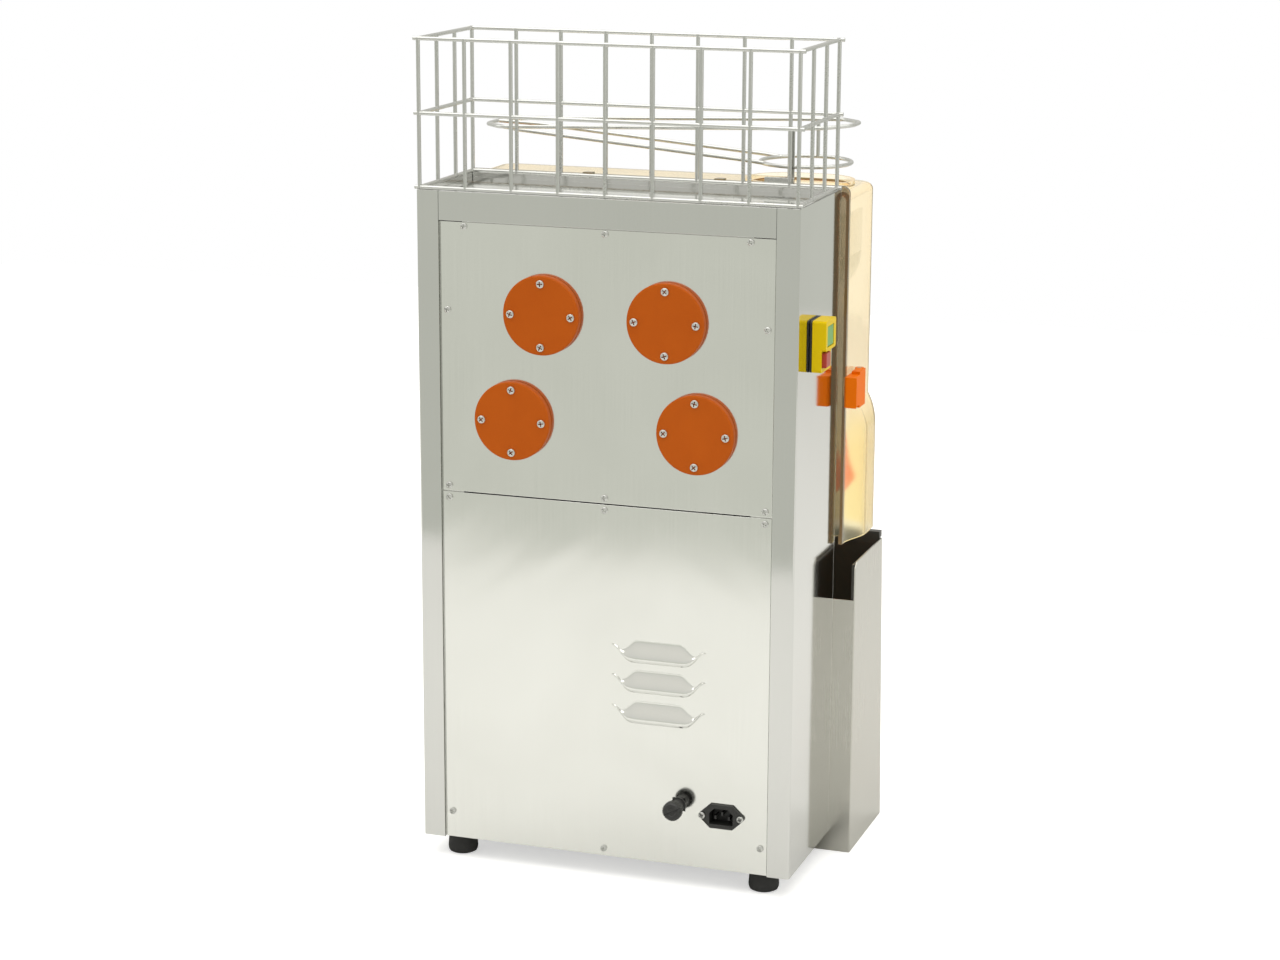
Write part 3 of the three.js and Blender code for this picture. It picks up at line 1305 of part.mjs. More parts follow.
// Juice tray: sloping floor, sump and the outlet valve body
const trayFrontIn = 2.5;
const trayWall = 2.5;
const trayShallowDrop = 22;
const sumpHalf = 34;
const valveIn = 19;
const valveRadius = 11;
const valveDrop = 46;
const valveWall = 2.5;
const stemRadius = 4;
const ledgeDrop = 10;
const trayBackY = frontY - seatGap;
const trayFrontY = -coverFront + trayFrontIn;
const trayShallow = trayTop - trayShallowDrop;
const strainerLedge = trayTop - ledgeDrop;
const valveY = trayFrontY + valveIn;
const valveBottom = trayFloor - valveDrop;
function juiceTray() {
  const body = block([-trayHalf, trayHalf], [trayFrontY, trayBackY], [trayFloor, trayTop]);
  const hollowShape = outline([
    [-trayHalf + trayWall, trayTop + cutOver], [-trayHalf + trayWall, trayShallow],
    [-sumpHalf, trayFloor + trayWall], [sumpHalf, trayFloor + trayWall],
    [trayHalf - trayWall, trayShallow], [trayHalf - trayWall, trayTop + cutOver],
  ]);
  const hollow = alongY(hollowShape, [trayFrontY + trayWall, trayBackY - trayWall]);
  const wedges = bothSides.map((side) => sided(alongY(outline([
    [trayHalf + cutOver, trayFloor - cutOver], [trayHalf + cutOver, trayShallow - trayWall],
    [trayHalf, trayShallow - trayWall], [trayRailOut + trayWall, trayFloor - cutOver],
  ]), [trayFrontY - cutOver, trayBackY + cutOver]), side));
  const ledge = bothSides.map((side) => sided(block(
    [trayHalf - 2 * trayWall, trayHalf - cutOver], [trayFrontY + cutOver, trayBackY - cutOver],
    [strainerLedge - 2 * trayWall, strainerLedge],
  ), side));
  const valve = rodZ(valveRadius, [valveBottom, trayFloor + cutOver], 0, valveY, roundSides);
  const throat = rodZ(valveRadius - valveWall, [valveBottom - cutOver, trayFloor + trayWall + cutOver], 0, valveY,
    roundSides);
  return cut(join(cut(body, hollow, ...wedges), ...ledge, valve, valveNeck()), throat, stemBore());
}

// The valve's stem bore points forward, under the tray
const stemRise = 28;
const neckRadius = 7;
const neckReach = 5;
const stemHeight = valveBottom + stemRise;
const neckFrontY = trayFrontY - neckReach;
function valveNeck() {
  return rodY(neckRadius, [neckFrontY, valveY], 0, stemHeight, shaftSides);
}
function stemBore() {
  return rodY(stemRadius + seatGap, [neckFrontY - cutOver, valveY], 0, stemHeight, shaftSides);
}
add('juice_tray', juiceTray(), 'orangeLatch');

// Valve handle: quarter turn
const handleLength = 34;
const handleHalfWidth = 5;
const handleThick = 6;
const handleHub = 9;
function valveHandle() {
  const back = neckFrontY - seatGap;
  const hub = rodY(handleHub, [back - handleThick, back], 0, stemHeight, shaftSides);
  const shape = roundedOutline([-handleHalfWidth, handleHalfWidth], [stemHeight - handleLength, stemHeight],
    handleHalfWidth - cutOver);
  const lever = alongY(shape, [back - handleThick, back - seatGap]);
  const stem = rodY(stemRadius, [back - cutOver, valveY - valveRadius + valveWall - seatGap - cutOver], 0, stemHeight,
    shaftSides);
  return join(hub, lever, stem);
}
add('valve_handle', valveHandle(), 'blackPlastic');

// Strainer: a slotted steel plate on the tray's ledges
const strainerThick = 2;
const strainerMargin = 1.5;
const strainerSlots = 16;
const strainerSlotWidth = 5;
const strainerBorder = 16;
const strainerLip = 7;
function strainer() {
  const half = trayHalf - trayWall - strainerMargin;
  const [y0, y1] = [trayFrontY + trayWall + strainerMargin, trayBackY - trayWall - strainerMargin];
  const floor = strainerLedge + seatGap;
  const pan = cut(block([-half, half], [y0, y1], [floor, floor + strainerLip]),
    block([-half + strainerThick, half - strainerThick], [y0 + strainerThick, y1 - strainerThick],
      [floor + strainerThick, floor + strainerLip + cutOver]));
  const slots = [];
  for (let i = 0; i < strainerSlots; i += 1) {
    const x = -half + strainerBorder + (2 * half - 2 * strainerBorder) * i / (strainerSlots - 1);
    slots.push(block([x - strainerSlotWidth / 2, x + strainerSlotWidth / 2], [y0 + strainerBorder, y1 - strainerBorder],
      [floor - cutOver, floor + strainerThick + cutOver]));
  }
  return cut(pan, ...slots);
}
add('strainer', strainer(), 'brushedSteel');

// Drip tray and its lift-out grid, between the bins
const dripSideGap = 3;
const dripFrontIn = 1;
const dripHalf = binInner - dripSideGap;
const dripFrontY = -binFootFront + dripFrontIn;
const dripHeight = 26;
const dripWall = 2;
const gridThick = 3;
const gridSlots = 11;
const gridSlotWidth = 8;
const gridBorder = 14;
function dripTray() {
  const back = -binRear;
  const outer = block([-dripHalf, dripHalf], [dripFrontY, back], [0, dripHeight]);
  const hollow = block([-dripHalf + dripWall, dripHalf - dripWall], [dripFrontY + dripWall, back - dripWall],
    [dripWall, dripHeight + cutOver]);
  const ledges = bothSides.map((side) => sided(block([dripHalf - 3 * dripWall, dripHalf - dripWall / 2],
    [dripFrontY + dripWall / 2, back - dripWall / 2],
    [dripHeight - gridThick - 2 * dripWall, dripHeight - gridThick - seatGap]), side));
  return join(cut(outer, hollow), ...ledges);
}
function dripGrid() {
  const half = dripHalf - dripWall - strainerMargin;
  const [y0, y1] = [dripFrontY + dripWall + strainerMargin, -binRear - dripWall - strainerMargin];
  const plate = block([-half, half], [y0, y1], [dripHeight - gridThick, dripHeight]);
  const slots = [];
  for (let i = 0; i < gridSlots; i += 1) {
    const x = -half + gridBorder + (2 * half - 2 * gridBorder) * i / (gridSlots - 1);
    slots.push(block([x - gridSlotWidth / 2, x + gridSlotWidth / 2], [y0 + gridBorder, y1 - gridBorder],
      [dripHeight - gridThick - cutOver, dripHeight + cutOver]));
  }
  return cut(plate, ...slots);
}
add('drip_tray', dripTray(), 'brushedSteel');
add('drip_grid', dripGrid(), 'brushedSteel');

// Switch on the left side panel: black base, yellow housing, green start button in its guard, red stop button
const switchRearIn = 39;
const switchDepth = 36;
const switchDrop = 113;
const switchBaseThick = 2.2;
const switchHousingThick = 9.5;
const switchCorner = 3;
const buttonGap = 0.4;
const buttonPocket = 7;
const startRearIn = 6;
const startFrontIn = 7;
const startTopIn = 6;
const startHeight = 20;
const stopRearIn = 3;
const stopFrontIn = 17;
const stopBottomIn = 5;
const stopHeight = 14.5;
const buttonsApart = 5.5;
const guardRise = 2;
const guardReach = 4.5;
const startReach = 4;
const stopReach = 4.5;
const buttonEdge = 1;
const switchRearY = rearY - switchRearIn;
const switchFrontY = switchRearY - switchDepth;
const switchTop = topZ - switchDrop;
const switchBottom = switchTop - startTopIn - startHeight - buttonsApart - stopHeight - stopBottomIn;
const startSpan = [switchFrontY + startFrontIn, switchRearY - startRearIn];
const startHeights = [switchTop - startTopIn - startHeight, switchTop - startTopIn];
const stopSpan = [switchFrontY + stopFrontIn, switchRearY - stopRearIn];
const stopHeights = [switchBottom + stopBottomIn, switchBottom + stopBottomIn + stopHeight];
const guardBottom = stopHeights[1] + guardRise;
function switchSlab(x0, x1) {
  const shape = roundedOutline([switchFrontY, switchRearY], [switchBottom, switchTop], switchCorner);
  return alongX(shape, [x0, x1]);
}
const switchBaseFace = -halfWidth - seatGap - switchBaseThick;
const switchFace = switchBaseFace - seatGap - switchHousingThick;
function pocket([y0, y1], [z0, z1]) {
  return block([switchFace - guardReach - cutOver, switchFace + buttonPocket], [y0 - buttonGap, y1 + buttonGap],
    [z0 - buttonGap, z1 + buttonGap]);
}
function button([y0, y1], [z0, z1], reach) {
  const inner = switchFace + buttonPocket - 2 * buttonTravel;
  const shape = roundedOutline([y0, y1], [z0, z1], buttonEdge);
  return alongX(shape, [switchFace - reach, inner]);
}
const buttonTravel = 2;
add('switch_base', switchSlab(switchBaseFace, -halfWidth - seatGap), 'blackPlastic');
function switchHousing() {
  const shape = roundedOutline([switchFrontY, switchRearY], [guardBottom, switchTop], switchCorner);
  const guard = alongX(shape, [switchFace - guardReach, switchFace + cutOver]);
  const whole = join(switchSlab(switchFace, switchBaseFace - seatGap), guard);
  return cut(whole, pocket(startSpan, startHeights), pocket(stopSpan, stopHeights));
}
add('switch_housing', switchHousing(), 'yellow');
add('start_button', button(startSpan, startHeights, startReach), 'green');
add('stop_button', button(stopSpan, stopHeights, stopReach), 'red');

// Wire basket: straight wires welded where they cross, standing on the body's rims
const basketColumns = 9;
const basketSideWires = 2;
const wireSides = 4;
const wireOverhang = 5;
const basketBaseZ = topZ + seatGap + wireRadius;
function wireBasket() {
  const levels = [basketBaseZ, basketBaseZ + basketHeight / 2, basketBaseZ + basketHeight];
  const wires = [];
  for (const z of levels) {
    for (const y of [basketRear, -basketFront]) {
      wires.push(rodX(wireRadius, [-basketHalfWidth - wireOverhang, basketHalfWidth + wireOverhang], y, z, wireSides));
    }
    for (const side of bothSides) {
      wires.push(rodY(wireRadius, [-basketFront, basketRear], side * basketHalfWidth, z, wireSides));
    }
  }
  const span = [basketBaseZ - wireRadius / 2, basketBaseZ + basketHeight + wireRadius / 2];
  for (let i = 0; i < basketColumns; i += 1) {
    const x = -basketHalfWidth + 2 * basketHalfWidth * i / (basketColumns - 1);
    for (const y of [basketRear, -basketFront]) wires.push(rodZ(wireRadius, span, x, y, wireSides));
  }
  for (let i = 1; i <= basketSideWires; i += 1) {
    const y = -basketFront + (basketRear + basketFront) * i / (basketSideWires + 1);
    for (const side of bothSides) wires.push(rodZ(wireRadius, span, side * basketHalfWidth, y, wireSides));
  }
  return join(...wires);
}
add('wire_basket', wireBasket(), 'wireSteel');

// Feed ramp: a guard loop, two sloping rails and the ring over the feed mouth, on one strap
const rampY = -(coverBack + coverFront) / 2;
const loopHalfDepth = 44;
const loopHalfLength = 196;
const ringRise = 19;
const loopRise = 26;
const loopSlope = 14;
const loopNose = 26;
const ringOut = 6;
const ringX = mouthX - ringOut;
const ringRadius = 46;
const ringZ = topZ + ringRise;
const loopLowZ = ringZ + loopRise;
const loopHighZ = loopLowZ + loopSlope;
const railOut = 29;
const rampBend = 14;
const ringSteps = 8;
const strapHalfWidth = 3.5;
const strapThick = 2;
const strapFootLength = 30;
const strapFootHeight = 9;
const strapFootDepth = 5;
const strapInset = 1;
function loopZ(x) {
  return loopLowZ + (loopHighZ - loopLowZ) * (loopHalfLength - x) / (2 * loopHalfLength);
}
function feedRamp() {
  const halfLoop = (side) => {
    const [end, nose] = [side * (loopHalfLength - loopNose), side * loopHalfLength];
    const noseDepth = loopHalfDepth / 3;
    const corners = [
      [-side * cutOver, rampY + loopHalfDepth], [end, rampY + loopHalfDepth], [nose, rampY + noseDepth],
      [nose, rampY - noseDepth], [end, rampY - loopHalfDepth], [-side * cutOver, rampY - loopHalfDepth],
    ];
    return wire(bent(corners.map(([x, y]) => [x, y, loopZ(x)]), rampBend / 2, 2), wireRadius, wireSides);
  };
  const arc = (from, to) => {
    const points = [];
    for (let i = 0; i <= ringSteps; i += 1) {
      const angle = from + (to - from) * i / ringSteps;
      points.push(new THREE.Vector3(ringX + ringRadius * Math.cos(angle), rampY + ringRadius * Math.sin(angle), ringZ));
    }
    return wire(points, wireRadius, wireSides);
  };
  const overlapAngle = 2 * cutOver / ringRadius;
  const ringJoin = Math.sqrt(ringRadius ** 2 - railOut ** 2);
  const railEnd = loopHalfLength - loopNose;
  const rails = bothSides.map((side) => {
    const points = [
      [ringX + ringJoin - wireRadius, rampY + side * railOut, ringZ],
      [ringX + ringJoin + rampBend, rampY + side * railOut, ringZ + wireRadius],
      [railEnd - rampBend, rampY + side * railOut, loopZ(railEnd) - 2 * wireRadius],
      [loopHalfLength - wireRadius, rampY + side * railOut / 2, loopZ(loopHalfLength)],
    ];
    return wire(bent(points, rampBend / 2, 2), wireRadius, wireSides);
  });
  const frontPin = rodZ(wireRadius, [ringZ, loopZ(ringX)], ringX, rampY - ringRadius + wireRadius / 2, wireSides);
  const strapFront = frontY + strapInset;
  const strapBack = strapFront + strapThick;
  const rimSeat = topZ + seatGap;
  const strapSpan = [ringX - strapHalfWidth, ringX + strapHalfWidth];
  const strap = block(strapSpan, [strapFront, strapBack], [rimSeat, loopZ(ringX) + wireRadius]);
  const foot = block([strapSpan[0], strapSpan[0] + strapFootLength], [strapFront, strapFront + strapFootDepth],
    [rimSeat, rimSeat + strapFootHeight]);
  const loopArm = block(strapSpan, [rampY + loopHalfDepth - wireRadius, strapBack],
    [loopZ(ringX) - strapThick / 2, loopZ(ringX) + strapThick / 2]);
  const ringArm = block(strapSpan, [rampY + ringRadius - wireRadius, strapBack],
    [ringZ - strapThick / 2, ringZ + strapThick / 2]);
  return join(halfLoop(leftSide), halfLoop(rightSide), arc(-overlapAngle, Math.PI + overlapAngle),
    arc(Math.PI - overlapAngle, 2 * Math.PI + overlapAngle), ...rails, frontPin, strap, foot, loopArm, ringArm);
}
add('feed_ramp', feedRamp(), 'wireSteel');

// The origin is the middle of the footprint on the floor
const rearReach = panelFace + fuseBodyReach + 2 * seatGap + fuseCapLength;
const frontReach = binFootFront;
juicer.position.y = (frontReach - rearReach) / 2;

export default juicer;
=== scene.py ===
import json
import math

import bmesh
import bpy
from mathutils import Matrix, Vector


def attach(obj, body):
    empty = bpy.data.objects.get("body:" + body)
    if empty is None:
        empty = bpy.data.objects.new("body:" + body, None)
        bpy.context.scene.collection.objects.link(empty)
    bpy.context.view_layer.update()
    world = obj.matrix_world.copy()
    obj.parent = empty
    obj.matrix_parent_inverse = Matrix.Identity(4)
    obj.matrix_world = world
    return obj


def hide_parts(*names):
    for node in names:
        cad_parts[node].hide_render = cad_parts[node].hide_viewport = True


# Automatic orange juicer. Lengths are in millimetres in the machine's own frame and turned to metres
# when a piece is finished: x runs to a user's right, the front faces -y, the floor is z = 0.
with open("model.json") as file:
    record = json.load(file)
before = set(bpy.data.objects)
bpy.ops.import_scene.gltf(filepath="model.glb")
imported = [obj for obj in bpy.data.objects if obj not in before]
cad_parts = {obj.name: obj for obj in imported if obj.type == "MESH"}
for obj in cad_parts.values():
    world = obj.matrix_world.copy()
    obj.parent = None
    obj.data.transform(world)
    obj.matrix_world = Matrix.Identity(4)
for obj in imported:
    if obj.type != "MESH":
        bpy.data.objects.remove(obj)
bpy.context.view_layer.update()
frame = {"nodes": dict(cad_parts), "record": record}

mm = 0.001
frameShift = 53.7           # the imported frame's origin lies this far in front of the machine's middle


def place(x, y, z):
    return Vector((x, y + frameShift, z)) * mm


def addObject(name, data):
    thing = bpy.data.objects.new(name, data)
    bpy.context.scene.collection.objects.link(thing)
    return thing


print("camera")
photoView = {
    "azimuth": 198.83, "elevation": 13.43, "roll": 0.28,
    "aim": (0.0, 0.0, 357.0), "distance": 2.936, "right": 0.0116, "up": 0.0397, "lens": 81.62, "sensor": 36,
}


def makeCamera(view):
    around, above, roll = (math.radians(view[k]) for k in ("azimuth", "elevation", "roll"))
    back = Vector((math.sin(around) * math.cos(above), -math.cos(around) * math.cos(above), math.sin(above)))
    right = (-back).cross(Vector((0, 0, 1))).normalized()
    up = right.cross(-back)
    turnedRight = right * math.cos(roll) + up * math.sin(roll)
    turnedUp = up * math.cos(roll) - right * math.sin(roll)
    spot = place(*view["aim"]) + back * view["distance"] + right * view["right"] + up * view["up"]
    data = bpy.data.cameras.new("photoCamera")
    data.lens, data.sensor_width = view["lens"], view["sensor"]
    camera = addObject("photoCamera", data)
    camera.matrix_world = Matrix.Translation(spot) @ Matrix((turnedRight, turnedUp, back)).transposed().to_4x4()
    bpy.context.scene.camera = camera


makeCamera(photoView)

print("stage and lights")


# Each value is set on its socket, or linked when it is another node's output
def setSockets(tree, node, values):
    for label, value in values.items():
        socket = node.inputs[label]
        if isinstance(value, bpy.types.NodeSocket):
            tree.links.new(value, socket)
        else:
            socket.default_value = (*value, 1) if socket.type == "RGBA" else value


def addNode(tree, kind, values=()):
    node = tree.nodes.new("ShaderNode" + kind)
    setSockets(tree, node, dict(values))
    return node


# Paper exposed to white, as in the photograph: lift is the extra light that only the camera sees
stage = {"halfWidth": 2.6, "near": 1.33, "far": -3.1, "paper": (0.74, 0.74, 0.725), "lift": (0.50, 0.50, 0.505)}


def makeStage(look):
    bm = bmesh.new()
    bmesh.ops.create_grid(bm, x_segments=4, y_segments=4, size=1)
    bmesh.ops.scale(bm, verts=bm.verts, vec=(look["halfWidth"], (look["near"] - look["far"]) / 2, 1))
    bmesh.ops.translate(bm, verts=bm.verts, vec=(0, (look["near"] + look["far"]) / 2, 0))
    mesh = bpy.data.meshes.new("paleFloor")
    bm.to_mesh(mesh)
    bm.free()
    material = bpy.data.materials.new("palePaper")
    material.use_nodes = True
    tree = material.node_tree
    setSockets(tree, tree.nodes["Principled BSDF"], {
        "Base Color": look["paper"], "Roughness": 0.8, "Specular IOR Level": 0.1, "Emission Color": look["lift"],
        "Emission Strength": addNode(tree, "LightPath").outputs["Is Camera Ray"]})
    mesh.materials.append(material)
    addObject("paleFloor", mesh)


makeStage(stage)


def softLight(name, spot, aim, size, power):
    data = bpy.data.lights.new(name, "AREA")
    data.shape, data.size, data.size_y, data.energy = "RECTANGLE", *size, power
    lamp = addObject(name, data)
    lamp.location = spot
    lamp.rotation_euler = (Vector(aim) - Vector(spot)).to_track_quat("-Z", "Y").to_euler()


softLight("overhead", (0.0, 0.2, 3.0), (0, 0, 0.3), (4.0, 4.0), 74)
softLight("leftKey", (3.0, 0.0, 1.8), (0, 0, 0.4), (2.2, 2.2), 14)
softLight("rightFill", (-2.8, 0.6, 1.6), (0, 0, 0.4), (2.4, 2.2), 11)

# What the machine mirrors beyond the floor: grey-green below the horizon, pale above, with a soft change
# between the two shares of height. Seen straight on or through the cover, the backdrop is plain white.
surroundings = {"below": (0.65, 0.66, 0.60), "horizon": (0.73, 0.725, 0.69), "above": (0.86, 0.84, 0.79),
                "change": (0.46, 0.54)}


def makeWorld(look):
    world = bpy.data.worlds.new("studio")
    world.use_nodes = True
    bpy.context.scene.world = world
    tree = world.node_tree
    tree.nodes.clear()
    split = addNode(tree, "SeparateXYZ", {0: addNode(tree, "TexCoord").outputs["Generated"]})
    height = addNode(tree, "MapRange", {"Value": split.outputs["Z"], "From Min": -1.0})
    ramp = addNode(tree, "ValToRGB", {"Fac": height.outputs["Result"]})
    stops, (low, high) = ramp.color_ramp.elements, look["change"]
    stops[0].position, stops[0].color = low, (*look["below"], 1)
    stops[1].position, stops[1].color = 1.0, (*look["above"], 1)
    stops.new(high).color = (*look["horizon"], 1)
    mirrored = addNode(tree, "Background", {"Color": ramp.outputs["Color"]})
    plain = addNode(tree, "Background", {"Color": (1, 1, 1)})
    path = addNode(tree, "LightPath")
    direct = addNode(tree, "Math", {0: path.outputs["Is Camera Ray"], 1: path.outputs["Is Transmission Ray"]})
    direct.operation = "MAXIMUM"
    mix = addNode(tree, "MixShader", {0: direct.outputs[0], 1: mirrored.outputs[0], 2: plain.outputs[0]})
    addNode(tree, "OutputWorld", {"Surface": mix.outputs[0]})


makeWorld(surroundings)
bpy.context.scene.view_settings.view_transform = "Standard"


print("finishes")


def newGroup(name, inputs, outputs):
    group = bpy.data.node_groups.new(name, "ShaderNodeTree")
    for label, kind, value in inputs:
        group.interface.new_socket(label, in_out="INPUT", socket_type=kind).default_value = value
    for label, kind in outputs:
        group.interface.new_socket(label, in_out="OUTPUT", socket_type=kind)
    return group, group.nodes.new("NodeGroupInput"), group.nodes.new("NodeGroupOutput")


def addMath(tree, operation, first, second):
    node = addNode(tree, "Math", {0: first, 1: second})
    node.operation, node.use_clamp = operation, operation == "MULTIPLY"
    return node.outputs[0]


# Rounded edges for the light, and a mask of where they have rubbed bright
def edgeWearGroup():
    group, given, out = newGroup("edgeWear", [("Radius", "NodeSocketFloat", 0.0006), ("Amount", "NodeSocketFloat", 1.0),
                                              ("Scale", "NodeSocketFloat", 90.0)],
                                 [("Mask", "NodeSocketFloat"), ("Normal", "NodeSocketVector")])
    rounded = addNode(group, "Bevel", {"Radius": given.outputs["Radius"]})
    rounded.samples = 4
    flat = addNode(group, "NewGeometry").outputs["Normal"]
    dot = addNode(group, "VectorMath", {0: rounded.outputs[0], 1: flat})
    dot.operation = "DOT_PRODUCT"
    bent = addMath(group, "MULTIPLY", addMath(group, "SUBTRACT", 1.0, dot.outputs["Value"]), 6.0)
    coord = addNode(group, "TexCoord").outputs["Object"]
    noise = addNode(group, "TexNoise", {"Vector": coord, "Scale": given.outputs["Scale"], "Detail": 4})
    patchy = addMath(group, "MULTIPLY", bent, noise.outputs[0])
    setSockets(group, out, {"Mask": addMath(group, "MULTIPLY", patchy, given.outputs["Amount"]),
                            "Normal": rounded.outputs[0]})
    return group


# Noise drawn out along the way that a surface was brushed or rolled
def grainGroup():
    group, given, out = newGroup("surfaceGrain", [("Stretch", "NodeSocketVector", (900, 900, 12)),
                                                  ("Detail", "NodeSocketFloat", 3.0)], [("Value", "NodeSocketFloat")])
    coord = addNode(group, "TexCoord").outputs["Object"]
    drawn = addNode(group, "Mapping", {"Vector": coord, "Scale": given.outputs["Stretch"]})
    noise = addNode(group, "TexNoise", {"Vector": drawn.outputs[0], "Scale": 1, "Detail": given.outputs["Detail"]})
    setSockets(group, out, {"Value": noise.outputs[0]})
    return group


# Soft clouds: handling marks on metal, cloudy colour in plastic, and the slow waves of thin sheet
def cloudGroup():
    group, given, out = newGroup("softClouds", [("Scale", "NodeSocketFloat", 8.0),
                                                ("Contrast", "NodeSocketFloat", 1.0)], [("Value", "NodeSocketFloat")])
    coord = addNode(group, "TexCoord").outputs["Object"]
    noise = addNode(group, "TexNoise", {"Vector": coord, "Scale": given.outputs["Scale"], "Detail": 2.5,
                                        "Distortion": 0.6})
    centred = addMath(group, "SUBTRACT", noise.outputs[0], 0.5)
    spread = addNode(group, "Math", {0: centred, 1: given.outputs["Contrast"], 2: 0.5})
    spread.operation, spread.use_clamp = "MULTIPLY_ADD", True
    setSockets(group, out, {"Value": spread.outputs[0]})
    return group


edgeWear, surfaceGrain, softClouds = edgeWearGroup(), grainGroup(), cloudGroup()


def placeGroup(tree, group, **values):
    node = tree.nodes.new("ShaderNodeGroup")
    node.node_tree = group
    setSockets(tree, node, values)
    return node


def mixColour(tree, share, first, second):
    node = tree.nodes.new("ShaderNodeMix")
    node.data_type = "RGBA"
    setSockets(tree, node, {"Factor": share, "A": first, "B": second})
    return node.outputs["Result"]


def mapped(tree, value, low, high):
    return addNode(tree, "MapRange", {"Value": value, "To Min": low, "To Max": high}).outputs["Result"]


# A share that runs from none at the first value to full at the second
def fading(tree, value, first, second):
    return addNode(tree, "MapRange", {"Value": value, "From Min": first, "From Max": second}).outputs["Result"]


def addBump(tree, height, distance, normal):
    bump = addNode(tree, "Bump", {"Height": height, "Distance": distance, "Strength": 1.0, "Normal": normal})
    return bump.outputs["Normal"]


# One entry for each finish, with what differs from the usual. colour and shade are its two tones, grain stretches
# its texture, cloud is the scale of its clouds, waves the depth in metres of the sheet's slow unevenness, worn the
# colour of its rubbed edges, edge the radius in metres that the light sees on them.
usualLook = {"metal": 0, "rough": (0.28, 0.40), "grain": (1000, 1000, 1000), "grainDepth": 0.00004, "cloud": 7.0,
             "wear": 0.5, "edge": 0.0006, "specular": 0.5}
finishLooks = {
    "brushed_steel": {"colour": (0.87, 0.875, 0.84), "shade": (0.74, 0.745, 0.705), "metal": 1, "rough": (0.09, 0.16),
                      "grain": (1400, 1400, 9), "grainDepth": 0.00002, "waves": 0.0022, "waveScale": 3.2,
                      "worn": (0.92, 0.92, 0.90), "edge": 0.0005},
    "bin_steel": {"colour": (0.59, 0.58, 0.53), "shade": (0.51, 0.50, 0.455), "metal": 1, "rough": (0.20, 0.32),
                  "grain": (1400, 1400, 9), "grainDepth": 0.00003, "waves": 0.0010, "waveScale": 5.0,
                  "worn": (0.82, 0.82, 0.78), "wear": 0.6},
    "mirror_steel": {"colour": (0.71, 0.71, 0.69), "shade": (0.65, 0.655, 0.63), "metal": 1, "rough": (0.045, 0.11),
                     "grain": (1600, 1600, 8), "grainDepth": 0.000008, "waves": 0.0003, "waveScale": 3.5,
                     "worn": (0.76, 0.76, 0.74), "wear": 0.3, "edge": 0.0002},
    "gear_steel": {"colour": (0.50, 0.51, 0.52), "shade": (0.36, 0.37, 0.38), "metal": 1, "rough": (0.28, 0.46),
                   "grain": (500, 900, 500), "worn": (0.75, 0.75, 0.76), "wear": 1.0, "edge": 0.0004},
    "wire_steel": {"colour": (0.66, 0.665, 0.64), "shade": (0.52, 0.525, 0.50), "metal": 1, "rough": (0.22, 0.36),
                   "grain": (700, 700, 700), "grainDepth": 0.00002, "worn": (0.85, 0.85, 0.83), "wear": 0.4,
                   "edge": 0.0003},
    "cast_alloy": {"colour": (0.55, 0.56, 0.56), "shade": (0.42, 0.43, 0.43), "metal": 1, "rough": (0.45, 0.65),
                   "grain": (420, 420, 420), "grainDepth": 0.00025, "worn": (0.75, 0.75, 0.75), "wear": 1.0,
                   "edge": 0.0012},
    "motor_paint": {"colour": (0.045, 0.052, 0.060), "shade": (0.03, 0.034, 0.04), "rough": (0.38, 0.55),
                    "grain": (600, 600, 600), "grainDepth": 0.00012, "worn": (0.35, 0.36, 0.37), "wear": 0.9,
                    "edge": 0.0008},
    "orange_plastic": {"colour": (0.515, 0.103, 0.006), "shade": (0.44, 0.082, 0.005), "rough": (0.34, 0.46),
                       "grain": (1100, 1100, 1100), "grainDepth": 0.00005, "cloud": 26, "worn": (0.66, 0.19, 0.03),
                       "edge": 0.0007, "glow": 0.04, "specular": 0.09},
    "orange_gloss": {"colour": (0.90, 0.185, 0.001), "shade": (0.80, 0.155, 0.001), "rough": (0.40, 0.52),
                     "grain": (900, 900, 900), "grainDepth": 0.00003, "cloud": 30, "worn": (0.98, 0.34, 0.03),
                     "wear": 0.4, "glow": 0.08, "specular": 0.08},
    "white_plastic": {"colour": (0.82, 0.80, 0.74), "shade": (0.76, 0.74, 0.68), "rough": (0.34, 0.48),
                      "grain": (800, 800, 800), "cloud": 18, "worn": (0.9, 0.88, 0.84), "wear": 0.3,
                      "edge": 0.0008, "glow": 0.08},
    "black_plastic": {"colour": (0.018, 0.018, 0.016), "shade": (0.011, 0.011, 0.010), "rough": (0.28, 0.44),
                      "grain": (1300, 1300, 1300), "grainDepth": 0.00006, "cloud": 30, "worn": (0.10, 0.10, 0.098),
                      "wear": 0.7, "edge": 0.0005},
    # liner_plastic's inner colour is a painted glow standing in for light bounced inside the deep bin
    "liner_plastic": {"colour": (0.036, 0.034, 0.030), "shade": (0.025, 0.024, 0.020), "rough": (0.30, 0.46),
                      "grain": (1300, 1300, 1300), "grainDepth": 0.00006, "cloud": 12, "worn": (0.10, 0.10, 0.098),
                      "inner": (0.007, 0.006, 0.004)},
    "rubber": {"colour": (0.016, 0.016, 0.015), "shade": (0.026, 0.026, 0.025), "rough": (0.7, 0.88),
               "grain": (900, 900, 900), "grainDepth": 0.0001, "cloud": 60, "worn": (0.06, 0.06, 0.06), "wear": 0.9,
               "edge": 0.0008},
    "yellow_plastic": {"colour": (0.80, 0.575, 0.003), "shade": (0.71, 0.50, 0.003), "rough": (0.3, 0.42),
                       "cloud": 40, "worn": (0.88, 0.74, 0.08), "glow": 0.05, "specular": 0.10},
    "green_plastic": {"colour": (0.16, 0.42, 0.10), "shade": (0.12, 0.34, 0.08), "cloud": 40,
                      "worn": (0.4, 0.62, 0.32)},
    "red_plastic": {"colour": (0.42, 0.035, 0.018), "shade": (0.34, 0.026, 0.014), "cloud": 40,
                    "worn": (0.6, 0.16, 0.1)},
}


